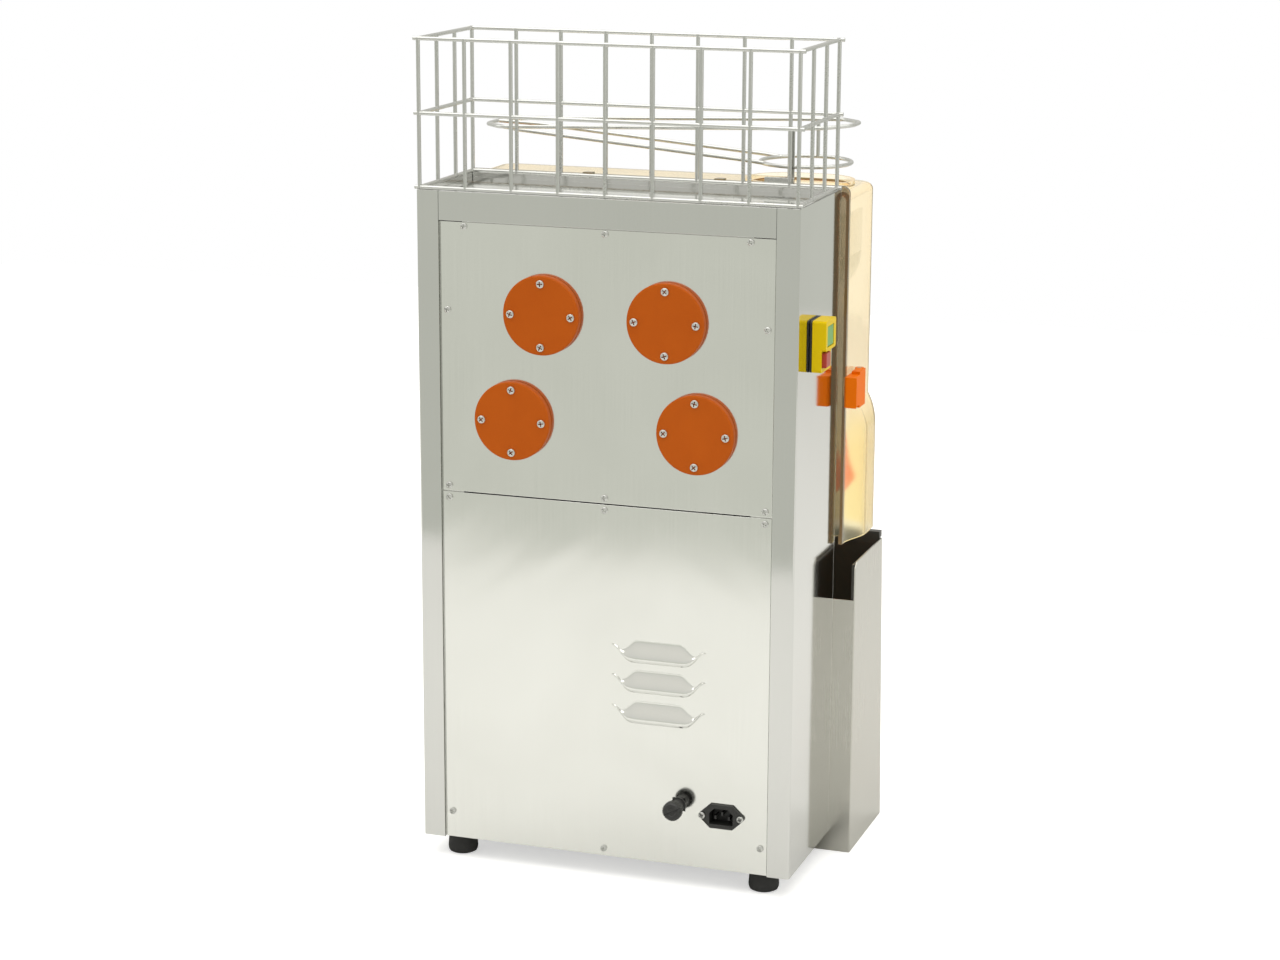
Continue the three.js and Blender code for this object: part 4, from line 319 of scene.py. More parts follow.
def makeFinish(name, own):
    look = {**usualLook, **own}
    material = bpy.data.materials.new(name)
    material.use_nodes = True
    tree = material.node_tree
    clouds = placeGroup(tree, softClouds, Scale=look["cloud"], Contrast=1.6)
    grain = placeGroup(tree, surfaceGrain, Stretch=look["grain"])
    wear = placeGroup(tree, edgeWear, Radius=look["edge"], Amount=look["wear"])
    tone = addMath(tree, "MULTIPLY", addMath(tree, "ADD", clouds.outputs[0], grain.outputs[0]), 0.5)
    plain = mixColour(tree, tone, look["shade"], look["colour"])
    normal = addBump(tree, grain.outputs[0], look["grainDepth"], wear.outputs["Normal"])
    if "waves" in look:
        waves = placeGroup(tree, softClouds, Scale=look["waveScale"], Contrast=1.0)
        normal = addBump(tree, waves.outputs[0], look["waves"], normal)
    values = {"Base Color": mixColour(tree, wear.outputs["Mask"], plain, look["worn"]), "Normal": normal,
              "Roughness": mapped(tree, tone, *look["rough"]), "Metallic": look["metal"],
              "Specular IOR Level": look["specular"]}
    if "glow" in look:                           # light that has gone a little way into the plastic
        values.update({"Subsurface Weight": look["glow"], "Subsurface Radius": (0.004, 0.002, 0.001)})
    if "inner" in look:                          # painted glow standing in for the light passed on from wall to wall in a deep, dark bin
        values.update({"Emission Color": look["inner"], "Emission Strength": 1.0})
    setSockets(tree, tree.nodes["Principled BSDF"], values)
    return material


# Clear plastic whose colour comes from its thickness, so its edges are dark and its walls pale. The chutes are
# hazy below chuteTop, the rim behind rimStart (metres in the imported frame) is tinted darker as painted shade,
# inner is a painted glow for the light gathered inside thick plastic, lamp the colour that lamps take on behind it.
amberLook = {"colour": (1.0, 0.985, 0.96), "shade": (1.0, 0.965, 0.91), "rough": (0.02, 0.07), "ior": 1.45,
             "depth": (0.97, 0.66, 0.04), "density": 52.0, "lamp": (0.96, 0.84, 0.62), "rim": (0.15, 0.125, 0.11),
             "rimStart": -0.0278, "rimFade": 0.0004, "chute": (1.0, 0.95, 0.72), "chuteTop": 0.475,
             "chuteFade": 0.05, "haze": 0.15, "inner": (0.040, 0.043, 0.026)}


def makeAmber(look):
    material = bpy.data.materials.new("amber_plastic")
    material.use_nodes = True
    tree = material.node_tree
    shader, out = tree.nodes["Principled BSDF"], tree.nodes["Material Output"]
    clouds = placeGroup(tree, softClouds, Scale=14.0, Contrast=1.4).outputs[0]
    spot = addNode(tree, "SeparateXYZ", {0: addNode(tree, "TexCoord").outputs["Object"]}).outputs
    chute = fading(tree, spot["Z"], look["chuteTop"], look["chuteTop"] - look["chuteFade"])
    # painted shade: mask of the rim behind rimStart, whose colour is tinted darker
    rim = fading(tree, spot["Y"], look["rimStart"] - look["rimFade"], look["rimStart"] + look["rimFade"])
    plain = mixColour(tree, clouds, look["shade"], look["colour"])
    walls = mixColour(tree, chute, plain, look["chute"])
    hazy = addMath(tree, "MULTIPLY", chute, look["haze"])
    setSockets(tree, shader, {
        "Base Color": mixColour(tree, rim, walls, look["rim"]), "Transmission Weight": 1.0, "IOR": look["ior"],
        "Roughness": addMath(tree, "ADD", mapped(tree, clouds, *look["rough"]), hazy),
        # painted glow standing in for light gathered inside the thick plastic
        "Emission Color": look["inner"], "Emission Strength": 1.0})
    clear = addNode(tree, "BsdfTransparent", {"Color": look["lamp"]})
    path = addNode(tree, "LightPath")
    mix = addNode(tree, "MixShader", {0: path.outputs["Is Shadow Ray"], 1: shader.outputs[0], 2: clear.outputs[0]})
    depth = addNode(tree, "VolumeAbsorption", {"Color": look["depth"], "Density": look["density"]})
    setSockets(tree, out, {"Surface": mix.outputs[0], "Volume": depth.outputs[0]})
    return material


finishes = {name: makeFinish(name, look) for name, look in finishLooks.items()}
finishes["amber_plastic"] = makeAmber(amberLook)
nodeSlots = {part["node"]: part["material_slot"] for part in frame["record"]["subparts"]}
for name, node in frame["nodes"].items():
    node.data.materials.clear()
    node.data.materials.append(finishes[nodeSlots[name]])


print("shape helpers")
nodeBodies = {node: body for body, nodes in frame["record"]["behaviour"]["bodies"].items() for node in nodes}


def addPiece(name, mesh, slot, body, covers):
    mesh.materials.clear()
    mesh.materials.append(finishes[slot])
    piece = addObject(name, mesh)
    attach(piece, body)
    if covers:
        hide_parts(*covers)
    shading = piece.modifiers.new("evenShading", "WEIGHTED_NORMAL")     # flats stay flat beside their small roundings
    shading.keep_sharp = True
    return piece


# Edges turned by more than crease degrees stay sharp
def shadedMesh(bm, name, crease):
    bmesh.ops.recalc_face_normals(bm, faces=bm.faces)
    mesh = bpy.data.meshes.new(name)
    bm.to_mesh(mesh)
    bm.free()
    mesh.shade_smooth()
    mesh.set_sharp_from_angle(angle=math.radians(crease))
    return mesh


# Turns a shape made in machine millimetres into a finished piece
def finishPiece(bm, name, slot, body, covers=(), crease=35):
    bmesh.ops.remove_doubles(bm, verts=bm.verts, dist=0.002)
    bmesh.ops.translate(bm, verts=bm.verts, vec=(0, frameShift, 0))
    bmesh.ops.scale(bm, verts=bm.verts, vec=(mm, mm, mm))
    return addPiece(name, shadedMesh(bm, name, crease), slot, body, covers)


def movedVerts(geometry):
    return [item for item in geometry if isinstance(item, bmesh.types.BMVert)]


# Draws the faces out along a line and keeps them, so that a flat shape turns into a closed one
def thickened(bm, faces, reach):
    drawn = bmesh.ops.extrude_face_region(bm, geom=faces, use_keep_orig=True)["geom"]
    bmesh.ops.translate(bm, verts=movedVerts(drawn), vec=reach)


def roundEdges(bm, edges, offset, segments, clamped=False):
    bmesh.ops.bevel(bm, geom=edges, offset=offset, segments=segments, profile=0.5, affect="EDGES",
                    clamp_overlap=clamped, material=-1)


# The steps of a quarter round: how far each one lies in from the two sides
def quarterRound(radius, steps):
    angles = [math.pi / 2 * i / steps for i in range(steps + 1)]
    return [(radius * (1 - math.sin(angle)), radius * (1 - math.cos(angle))) for angle in angles]


# A turned shape: profile points are (radius, place along the axis)
def turned(bm, profile, spot, steps, axis="y", closed=False):
    before = set(bm.verts)
    verts = [bm.verts.new((radius, along, 0)) for radius, along in profile]
    edges = [bm.edges.new(pair) for pair in zip(verts, verts[1:])]
    if closed:
        edges.append(bm.edges.new((verts[-1], verts[0])))
    bmesh.ops.spin(bm, geom=verts + edges, cent=(0, 0, 0), axis=(0, 1, 0), angle=2 * math.pi, steps=steps,
                   use_merge=True)
    whole = [v for v in bm.verts if v not in before]
    if axis == "z":
        bmesh.ops.rotate(bm, verts=whole, cent=(0, 0, 0), matrix=Matrix.Rotation(math.pi / 2, 3, "X"))
    bmesh.ops.translate(bm, verts=whole, vec=spot)
    return whole


# A block given by its limits, with rounded edges, or only those along one axis
def roundedBlock(bm, xs, ys, zs, radius, segments, along=None):
    made = bmesh.ops.create_cube(bm, size=1)["verts"]
    size = [high - low for low, high in (xs, ys, zs)]
    bmesh.ops.scale(bm, verts=made, vec=size)
    bmesh.ops.translate(bm, verts=made, vec=[(low + high) / 2 for low, high in (xs, ys, zs)])
    edges = list({e for v in made for e in v.link_edges})
    if along is not None:
        edges = [e for e in edges if abs((e.verts[0].co - e.verts[1].co).normalized()[along]) > 0.99]
    if radius:
        roundEdges(bm, edges, radius, segments)


def blockShape(xs, ys, zs, radius=0.0, segments=3, along=None):
    bm = bmesh.new()
    roundedBlock(bm, xs, ys, zs, radius, segments, along)
    return bm


# Joins and cuts closed shapes, given in machine millimetres
def carved(base, added=(), cutters=()):
    def holder(bm, name):
        mesh = bpy.data.meshes.new(name)
        bmesh.ops.recalc_face_normals(bm, faces=bm.faces)
        bm.to_mesh(mesh)
        bm.free()
        return addObject(name, mesh)
    body = holder(base, "carvedBody")
    tools = [(holder(bm, "carvedTool"), "UNION") for bm in added]
    tools += [(holder(bm, "carvedTool"), "DIFFERENCE") for bm in cutters]
    for tool, action in tools:
        step = body.modifiers.new("carve", "BOOLEAN")
        step.object, step.operation, step.solver = tool, action, "EXACT"
    whole = bpy.data.meshes.new_from_object(body.evaluated_get(bpy.context.evaluated_depsgraph_get()))
    made = bmesh.new()
    made.from_mesh(whole)
    for thing in [body, *(tool for tool, _ in tools)]:
        mesh = thing.data
        bpy.data.objects.remove(thing)
        bpy.data.meshes.remove(mesh)
    bpy.data.meshes.remove(whole)
    return made


def pieceName(node):
    first, *rest = node.split("_")
    return first + "".join(word.capitalize() for word in rest)


# How wide the strip of sheet beside a fold is on its narrower side
def stripWidth(edge):
    return min(face.calc_area() for face in edge.link_faces) / max(edge.calc_length(), 1e-9)


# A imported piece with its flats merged, its folds drawn round and its other edges broken. An edge is a fold if it
# is longer than length, lies behind the place given and has a strip wider than width on both sides.
def softened(node, edge, segments=2, folds=None, ears=None, finish=None):
    source = frame["nodes"][node]
    bm = bmesh.new()
    bm.from_mesh(source.data)
    bm.transform(source.matrix_world)
    bmesh.ops.remove_doubles(bm, verts=bm.verts, dist=0.002 * mm)
    bmesh.ops.dissolve_limit(bm, angle_limit=math.radians(0.2), verts=bm.verts, edges=bm.edges)
    if ears:                                     # the outline's corners beside the screws
        tips = [e for e in bm.edges if all(abs(v.co.x / mm - ears["x"]) > ears["beyond"] for v in e.verts)
                and abs((e.verts[0].co - e.verts[1].co).normalized().y) > 0.99]
        roundEdges(bm, tips, ears["radius"] * mm, 6)
    if folds:                                    # the outer side of each bend, then its inner side
        for outward in (True, False):
            bends = [e for e in bm.edges if len(e.link_faces) == 2 and e.calc_length() > folds["length"] * mm
                     and e.calc_face_angle(0) > 1 and e.is_convex == outward
                     and min(v.co.y for v in e.verts) > (folds["behind"] + frameShift) * mm
                     and stripWidth(e) > folds["width"] * mm]
            radius = folds["radius"] if outward else max(folds["radius"] - folds["sheet"], 0.3)
            roundEdges(bm, bends, radius * mm, 5)
    sharp = [e for e in bm.edges if len(e.link_faces) == 2 and e.calc_face_angle(0) > math.radians(38)
             and (not folds or e.is_convex)]
    roundEdges(bm, sharp, edge * mm, segments, clamped=not folds)
    name = pieceName(node)
    piece = addPiece(name, shadedMesh(bm, name, 40), nodeSlots[node], nodeBodies[node], (node,))
    if finish:
        piece.data.materials[0] = source.data.materials[0] = finishes[finish]


print("screws")
screwLook = {"cells": 7, "dome": 0.45, "armCells": 2.5, "skirt": 0.2}


# A pan head with a cross recess, facing the rear: a square grid drawn round, with its middle cross pressed in
def crossHead(bm, x, seat, z, radius, height, turn):
    look = screwLook
    before = set(bm.verts)
    verts = bmesh.ops.create_grid(bm, x_segments=look["cells"], y_segments=look["cells"], size=1)["verts"]
    cell, arms = 2 / look["cells"], []
    for face in {f for v in verts for f in v.link_faces}:
        near, far = sorted(abs(along) for along in face.calc_center_median().xy)
        if near < cell / 2 and far < look["armCells"] * cell:
            arms.append(face)
    for v in verts:                              # the grid's square is drawn out to a round, crowned face
        a, b = v.co.x, v.co.y
        v.co.x, v.co.y = a * math.sqrt(1 - b * b / 2), b * math.sqrt(1 - a * a / 2)
        v.co.z = height * (1 - look["dome"] * (v.co.x ** 2 + v.co.y ** 2) ** 1.5)
    border = [e for e in {e for v in verts for e in v.link_edges} if e.is_boundary]
    pressed = bmesh.ops.extrude_face_region(bm, geom=arms)["geom"]
    bmesh.ops.delete(bm, geom=arms, context="FACES_ONLY")
    bmesh.ops.translate(bm, verts=movedVerts(pressed), vec=(0, 0, -height))
    for v in movedVerts(bmesh.ops.extrude_edge_only(bm, edges=border)["geom"]):
        v.co.z = -look["skirt"]
    whole = [v for v in bm.verts if v not in before]
    bmesh.ops.scale(bm, verts=whole, vec=(radius, radius, 1))
    bmesh.ops.rotate(bm, verts=whole, cent=(0, 0, 0), matrix=Matrix.Rotation(turn, 3, "Z"))
    bmesh.ops.rotate(bm, verts=whole, cent=(0, 0, 0), matrix=Matrix.Rotation(-math.pi / 2, 3, "X"))
    bmesh.ops.translate(bm, verts=whole, vec=(x, seat, z))


print("rear panels")
rearPanels = {"back": 70.5, "face": 72.0, "halfWidth": 171.8, "top": 661.8, "split": 390.0, "gap": 1.2,
              "bottom": 22.0, "edge": 0.4, "shaftHole": 25.0, "inletHole": ((-138.8, -110.6), (68.8, 89.2)),
              "fuseHole": ((-86.2, -73.2), (80.0, 93.0))}
shaftPlaces = {"upper_left": (-64.0, 575.0), "upper_right": (64.0, 575.0), "lower_left": (-95.0, 467.376),
               "lower_right": (95.0, 467.376)}


# A flat sheet between two heights, made of cells, without those whose middle lies in a hole
def sheetWithHoles(bm, panel, low, high, holes):
    half, back, face = panel["halfWidth"], panel["back"], panel["face"]
    xs = sorted({-half, half, *(edge for span, _ in holes for edge in span)})
    zs = sorted({low, high, *(edge for _, span in holes for edge in span)})
    verts = bmesh.ops.create_grid(bm, x_segments=len(xs) - 1, y_segments=len(zs) - 1, size=0.5)["verts"]
    for v in verts:
        column = round((v.co.x + 0.5) * (len(xs) - 1))
        row = round((v.co.y + 0.5) * (len(zs) - 1))
        v.co = (xs[column], back, zs[row])
    faces = list({f for v in verts for f in v.link_faces})
    gone = [f for f in faces if any(x0 < f.calc_center_median().x < x1 and z0 < f.calc_center_median().z < z1
                                    for (x0, x1), (z0, z1) in holes)]
    bmesh.ops.delete(bm, geom=gone, context="FACES")
    thickened(bm, [f for f in faces if f.is_valid], (0, face - back, 0))
    bmesh.ops.recalc_face_normals(bm, faces=bm.faces)
    rims = [e for e in bm.edges if len(e.link_faces) == 2 and e.calc_face_angle(0) > 1 and
            all(abs(v.co.y - face) < 0.01 for v in e.verts)]
    roundEdges(bm, rims, panel["edge"], 2)


def makeUpperPanel(panel):
    bm = bmesh.new()
    out = panel["shaftHole"]
    holes = [((x - out, x + out), (z - out, z + out)) for x, z in shaftPlaces.values()]
    sheetWithHoles(bm, panel, panel["split"], panel["top"], holes)
    finishPiece(bm, "upperRearPanel", "brushed_steel", "machine", ("rear_panel_upper",))


louvre = {"x": -57.0, "heights": (231.0, 200.0, 168.0), "halfLength": 49.0, "rise": 21.0, "reach": 6.5,
          "hornRise": 15.0, "flat": 28.0, "tongue": 0.80, "shoulder": 0.45, "flange": 3.6, "flangeReach": 2.4,
          "lip": 1.8, "band": 0.3, "wall": 1.1, "columns": 56, "rows": 20, "slotHalf": 31.0, "slot": (1.5, 11.0)}


def smoothStep(share):
    share = min(max(share, 0.0), 1.0)
    return share * share * (3 - 2 * share)


# A domed tongue over the slot. Its rolled lower lip is straight in the middle and sweeps up to a horn at each end
def addLouvre(bm, look, z, face):
    verts = bmesh.ops.create_grid(bm, x_segments=look["columns"], y_segments=look["rows"], size=1)["verts"]
    for v in verts:
        across, up = v.co.x, (v.co.y + 1) / 2
        out = abs(across) * look["halfLength"]
        lip = look["hornRise"] * smoothStep((out - look["flat"]) / (look["halfLength"] - look["flat"])) ** 1.3
        dome = smoothStep((1 - abs(across) / look["tongue"]) / look["shoulder"])
        edge = look["flange"] * (1 - abs(across) ** 6)
        reach = look["flangeReach"] * (1 - abs(across) ** 6) + (look["reach"] - look["flangeReach"]) * dome
        low, high = min(up / look["band"], 1.0), max(0.0, (up - look["band"]) / (1 - look["band"]))
        rise = edge * low + (1.2 + (look["rise"] - look["flange"]) * dome ** 0.6) * high
        height = reach * (1 + math.cos(math.pi * high)) / 2 - min(look["lip"], reach) * (1 - low) ** 1.5
        v.co = (look["x"] + across * look["halfLength"], face + height, z + lip + rise)
    thickened(bm, list({f for v in verts for f in v.link_faces}), (0, -look["wall"], 0))


def makeLowerPanel(panel, look):
    bm = bmesh.new()
    across, (low, high) = (look["x"] - look["slotHalf"], look["x"] + look["slotHalf"]), look["slot"]
    holes = [(across, (z + low, z + high)) for z in look["heights"]] + [panel["inletHole"], panel["fuseHole"]]
    sheetWithHoles(bm, panel, panel["bottom"], panel["split"] - panel["gap"], holes)
    for z in look["heights"]:
        addLouvre(bm, look, z, panel["face"])
    finishPiece(bm, "lowerRearPanel", "brushed_steel", "machine", ("rear_panel_lower",), crease=50)


makeUpperPanel(rearPanels)
makeLowerPanel(rearPanels, louvre)

panelScrew = {"radius": 3.4, "height": 2.4, "out": 165.0, "railRow": 657.8, "railOut": 147.0, "sideRow": 574.0,
              "seamRows": (395.5, 383.3), "footRow": 50.0, "middleRow": 30.0, "turn": 0.7}


def makePanelScrews(look, face):
    bm = bmesh.new()
    side = look["out"]
    spots = [(x, look["railRow"]) for x in (0, -look["railOut"], look["railOut"])]
    spots += [(x, look["sideRow"]) for x in (-side, side)]
    spots += [(x, z) for x in (-side, 0, side) for z in look["seamRows"]]
    spots += [(0, look["middleRow"]), (-side, look["footRow"]), (side, look["footRow"])]
    for number, (x, z) in enumerate(spots):
        crossHead(bm, x, face, z, look["radius"], look["height"], turn=look["turn"] * number)
    finishPiece(bm, "panelScrews", "wire_steel", "machine")


makePanelScrews(panelScrew, rearPanels["face"])

print("shaft covers")
shaftCover = {"radius": 39.5, "back": 72.3, "face": 80.3, "fillet": 1.6, "foot": 0.6, "screwCircle": 31.5,
              "screwRadius": 3.9, "screwHeight": 2.4}


def makeShaftCovers(cover):
    screws = bmesh.new()
    radius, back, foot, circle = cover["radius"], cover["back"], cover["foot"], cover["screwCircle"]
    edge = [(radius - inward, cover["face"] - down) for inward, down in reversed(quarterRound(cover["fillet"], 4))]
    profile = [(0, back), (radius - foot, back), (radius, back + foot), *edge, (0, cover["face"])]
    for name, (x, z) in shaftPlaces.items():
        bm = bmesh.new()
        turned(bm, profile, (x, 0, z), steps=96)
        finishPiece(bm, "shaftCover." + name, "orange_plastic", "machine", ("shaft_cover_" + name,))
        for number in range(4):
            angle = math.pi / 2 * number
            crossHead(screws, x + circle * math.cos(angle), cover["face"], z + circle * math.sin(angle),
                      cover["screwRadius"], cover["screwHeight"], turn=0.5 * number + x)
    finishPiece(screws, "coverScrews", "wire_steel", "machine")


makeShaftCovers(shaftCover)

print("inlet and fuse")
inletScrew = {"x": -124.7, "z": 79.0, "face": 74.8, "pitch": 40.0, "radius": 3.4, "height": 2.5, "turn": 0.4}
inletScrews = bmesh.new()
for hand in (-1, 1):
    crossHead(inletScrews, inletScrew["x"] + hand * inletScrew["pitch"] / 2, inletScrew["face"], inletScrew["z"],
              inletScrew["radius"], inletScrew["height"], inletScrew["turn"])
finishPiece(inletScrews, "inletScrews", "wire_steel", "machine")

fuse = {"x": -79.7, "z": 86.5, "start": 88.6, "end": 97.6, "radius": 10.0, "ridges": 24, "ridge": 0.022,
        "groove": 0.004, "slot": 1.4, "slotHalf": 0.8, "slotTurn": 0.5}


def makeFuseCap(look):
    bm = bmesh.new()
    x, z, start, end, radius = (look[k] for k in ("x", "z", "start", "end", "radius"))
    verts = turned(bm, [(0, start), (radius - 1.2, start), (radius - 0.2, start + 0.8), (radius - 0.2, end - 2.2),
                        (radius - 1.0, end - 1.0), (radius - 2.2, end), (4.6, end), (3.8, end - 0.6), (0, end - 0.6)],
                   (x, 0, z), steps=look["ridges"] * 4)
    for v in verts:                              # grip ridges along the cap's side
        dx, dz = v.co.x - x, v.co.z - z
        if math.hypot(dx, dz) > radius - 1.1:
            share = 1 + look["ridge"] * math.cos(look["ridges"] * math.atan2(dz, dx)) - look["groove"]
            v.co.x, v.co.z = x + dx * share, z + dz * share
    slot = blockShape((x - radius, x + radius), (end - look["slot"], end + 1),
                      (z - look["slotHalf"], z + look["slotHalf"]))
    bmesh.ops.rotate(slot, verts=slot.verts, cent=(x, end, z), matrix=Matrix.Rotation(look["slotTurn"], 3, "Y"))
    finishPiece(carved(bm, cutters=[slot]), "fuseCap", "black_plastic", "fuse_knob", ("fuse_cap",))


makeFuseCap(fuse)

print("feet")
foot = {"out": 163.0, "back": 50.0, "profile": ((0, 0.9), (6.5, 0.9), (7.5, 0), (11.9, 0), (14.3, 1.2), (15.2, 3.4),
                                                (15.5, 6.0), (15.1, 11.0), (14.3, 19.7), (13.3, 21.1), (11.9, 21.7),
                                                (0, 21.7))}
for side, hand in ((-1, "left"), (1, "right")):
    for depth, row in ((-1, "front"), (1, "rear")):
        bm = bmesh.new()
        turned(bm, foot["profile"], (side * foot["out"], depth * foot["back"], 0), axis="z", steps=56)
        finishPiece(bm, f"foot.{row}.{hand}", "rubber", "machine", (f"foot_{row}_{hand}",))

print("basket and ramp")
basket = {"halfWidth": 193.0, "rear": 73.0, "front": 66.0, "base": 694.3, "height": 145.0, "overhang": 5.0,
          "columns": 9, "sideWires": 2, "wire": 2.0}


# Wires as poly lines with a round section, made a mesh in machine millimetres
def wireMesh(name, runs, radius):
    data = bpy.data.curves.new(name, "CURVE")
    data.dimensions, data.bevel_depth, data.bevel_resolution, data.use_fill_caps = "3D", radius * mm, 3, True
    for points, closed in runs:
        spline = data.splines.new("POLY")
        spline.points.add(len(points) - 1)
        for point, spot in zip(spline.points, points):
            point.co = (*place(*spot), 1)
        spline.use_cyclic_u = closed
    holder = addObject(name, data)
    mesh = bpy.data.meshes.new_from_object(holder.evaluated_get(bpy.context.evaluated_depsgraph_get()))
    bpy.data.objects.remove(holder)
    mesh.name = name
    mesh.shade_smooth()
    mesh.set_sharp_from_angle(angle=math.radians(50))
    return mesh


def straight(start, end):
    return [start, tuple(Vector(start).lerp(Vector(end), 0.5)), end], False


def makeBasket(look):
    half, rear, front, base = look["halfWidth"], look["rear"], -look["front"], look["base"]
    levels = [base, base + look["height"] / 2, base + look["height"]]
    top, runs = levels[-1], []
    for z in levels:
        for y in (rear, front):
            runs.append(straight((-half - look["overhang"], y, z), (half + look["overhang"], y, z)))
        for side in (-1, 1):
            runs.append(straight((side * half, front, z), (side * half, rear, z)))
    for i in range(look["columns"]):
        x = -half + 2 * half * i / (look["columns"] - 1)
        runs += [straight((x, y, base - 1), (x, y, top + 1)) for y in (rear, front)]
    for i in range(1, look["sideWires"] + 1):
        y = front + (rear - front) * i / (look["sideWires"] + 1)
        runs += [straight((side * half, y, base - 1), (side * half, y, top + 1)) for side in (-1, 1)]
    addPiece("wireBasket", wireMesh("wireBasket", runs, look["wire"]), "wire_steel", "basket", ("wire_basket",))


makeBasket(basket)

ramp = {"y": -127.4, "halfDepth": 44.0, "halfLength": 196.0, "nose": 26.0, "low": 737.0, "slope": 14.0,
        "ringX": -144.0, "ringRadius": 46.0, "ringZ": 711.0, "railOut": 29.0, "bend": 14.0, "strap": 3.5,
        "strapFront": -74.0, "strapRear": -72.0, "tabRear": -69.0, "tabLength": 30.0, "tabRise": 9.0, "seat": 692.3,
        "wire": 2.0}


# A wire path through the points given, with each corner drawn round
def bentPath(corners, reach, closed=False):
    points, path, steps = [Vector(corner) for corner in corners], [], 6
    for i, point in enumerate(points):
        if not closed and i in (0, len(points) - 1):
            path.append(tuple(point))
            continue
        start = point + (points[i - 1] - point).normalized() * reach
        end = point + (points[(i + 1) % len(points)] - point).normalized() * reach
        for k in range(steps + 1):
            t = k / steps
            path.append(tuple(start * (1 - t) ** 2 + point * 2 * t * (1 - t) + end * t ** 2))
    return path, closed


def makeRamp(look):
    mid, deep, far, wire = look["y"], look["halfDepth"], look["halfLength"], look["wire"]

    def loopHeight(x):
        return look["low"] + look["slope"] * (far - x) / (2 * far)
    end = far - look["nose"]
    nose = ((end, deep), (far, deep / 3), (far, -deep / 3), (end, -deep))
    corners = [(side * x, mid + side * y) for side in (1, -1) for x, y in nose]
    runs = [bentPath([(x, y, loopHeight(x)) for x, y in corners], 9, closed=True)]
    ringX, radius, ringZ = look["ringX"], look["ringRadius"], look["ringZ"]
    circle = [2 * math.pi * i / 64 for i in range(64)]
    runs.append(([(ringX + radius * math.cos(a), mid + radius * math.sin(a), ringZ) for a in circle], True))
    meet = ringX + math.sqrt(radius ** 2 - look["railOut"] ** 2)
    for side in (-1, 1):
        y = mid + side * look["railOut"]
        runs.append(bentPath([(meet - wire, y, ringZ), (meet + look["bend"], y, ringZ + wire),
                              (end - look["bend"], y, loopHeight(end) - 2 * wire),
                              (far - wire, mid + side * look["railOut"] / 2, loopHeight(far))], look["bend"] / 2))
    front = mid - radius + wire / 2
    runs.append(straight((ringX, front, ringZ), (ringX, front, loopHeight(ringX))))
    addPiece("feedRamp", wireMesh("feedRamp", runs, wire), "wire_steel", "ramp", ("feed_ramp",))
    bm = bmesh.new()
    strap = (ringX - look["strap"], ringX + look["strap"])
    level, seat, front, rear = loopHeight(ringX), look["seat"], look["strapFront"], look["strapRear"]
    roundedBlock(bm, strap, (front, rear), (seat, level + wire), 0.4, 2)
    roundedBlock(bm, (strap[0], strap[0] + look["tabLength"]), (front, look["tabRear"]),
                 (seat, seat + look["tabRise"]), 0.6, 2)
    for wireEnd, height in ((mid + deep, level), (mid + radius, ringZ)):
        roundedBlock(bm, strap, (wireEnd - wire, rear), (height - 1, height + 1), 0.4, 2)
    finishPiece(bm, "rampStrap", "wire_steel", "ramp")


makeRamp(ramp)

print("amber cover")
cover = {"halfWidth": 203.5, "front": 179.5, "back": 75.3, "bottom": 330.0, "top": 689.0, "wall": 4.0, "rimDepth": 6.0,
         "rimTop": 695.0, "rimBottom": 338.0, "rimCorner": 8.0, "rimHole": 190.0, "bulge": 11.5, "chuteTop": 470.0,
         "chuteFull": 438.0, "chuteCorner": 26.0, "ease": 46.0, "corner": 12.0, "topEdge": 8.0,
         "mouth": (-138.0, -127.4), "mouthHalf": (52.0, 40.0), "collarWall": 4.0, "collarRise": 5.0,
         "windowHalf": 149.0, "windowTop": 377.0, "hookX": 70.0, "hookHalf": 5.0, "hookReach": 6.0,
         "hookHeights": (692.3, 697.3), "hookRoot": (687.0, 696.8), "steps": 12}
latchPivot = {"x": 208.3, "y": -112.0, "pin": 2.5, "boss": 4.6, "low": 470.0, "high": 507.0, "knuckle": 8.0}


# One level of the cover: straight sides that swell into a peel chute ahead of the rim, and rounded front corners
def coverRing(look, z, inset, topInset):
    steps = look["steps"]
    fullness = min(max((look["chuteTop"] - z) / (look["chuteTop"] - look["chuteFull"]), 0), 1)
    swell = look["bulge"] * math.sin(math.pi / 2 * fullness)
    side, front = look["halfWidth"] - inset - topInset, look["front"] - inset - topInset
    radius = look["corner"] + (look["chuteCorner"] - look["corner"]) * smoothStep(fullness) - inset / 2
    half = [(side, -look["back"] + (1 if inset else 0))]
    half += [(side + swell * smoothStep(i / steps), -look["back"] - look["rimDepth"] - look["ease"] * i / steps)
             for i in range(steps + 1)]
    half += [(side + swell - inward, ahead - front) for ahead, inward in quarterRound(radius, steps)[1:]]
    return [(x, y, z) for x, y in half] + [(-x, y, z) for x, y in reversed(half)]


# A closed shape through rings of equal length, one above the other
def lofted(rings):
    bm = bmesh.new()
    loops = []
    for ring in rings:
        verts = [bm.verts.new(spot) for spot in ring]
        loops.append([bm.edges.new((verts[i - 1], verts[i])) for i in range(len(verts))])
    for lower, upper in zip(loops, loops[1:]):
        bmesh.ops.bridge_loops(bm, edges=lower + upper)
    for edges in (loops[0], loops[-1]):
        bmesh.ops.contextual_create(bm, geom=edges)
    return bm


def coverSolid(look, inset):
    steps, top, edge = look["steps"], look["top"] - inset, look["topEdge"] - inset / 2
    levels = [(look["bottom"] - (1 if inset else 0), 0)]
    levels += [(look["chuteFull"] + (look["chuteTop"] - look["chuteFull"]) * i / steps, 0) for i in range(steps + 1)]
    levels += [(top - down, inward) for down, inward in quarterRound(edge, steps)]
    return lofted([coverRing(look, z, inset, topInset) for z, topInset in levels])


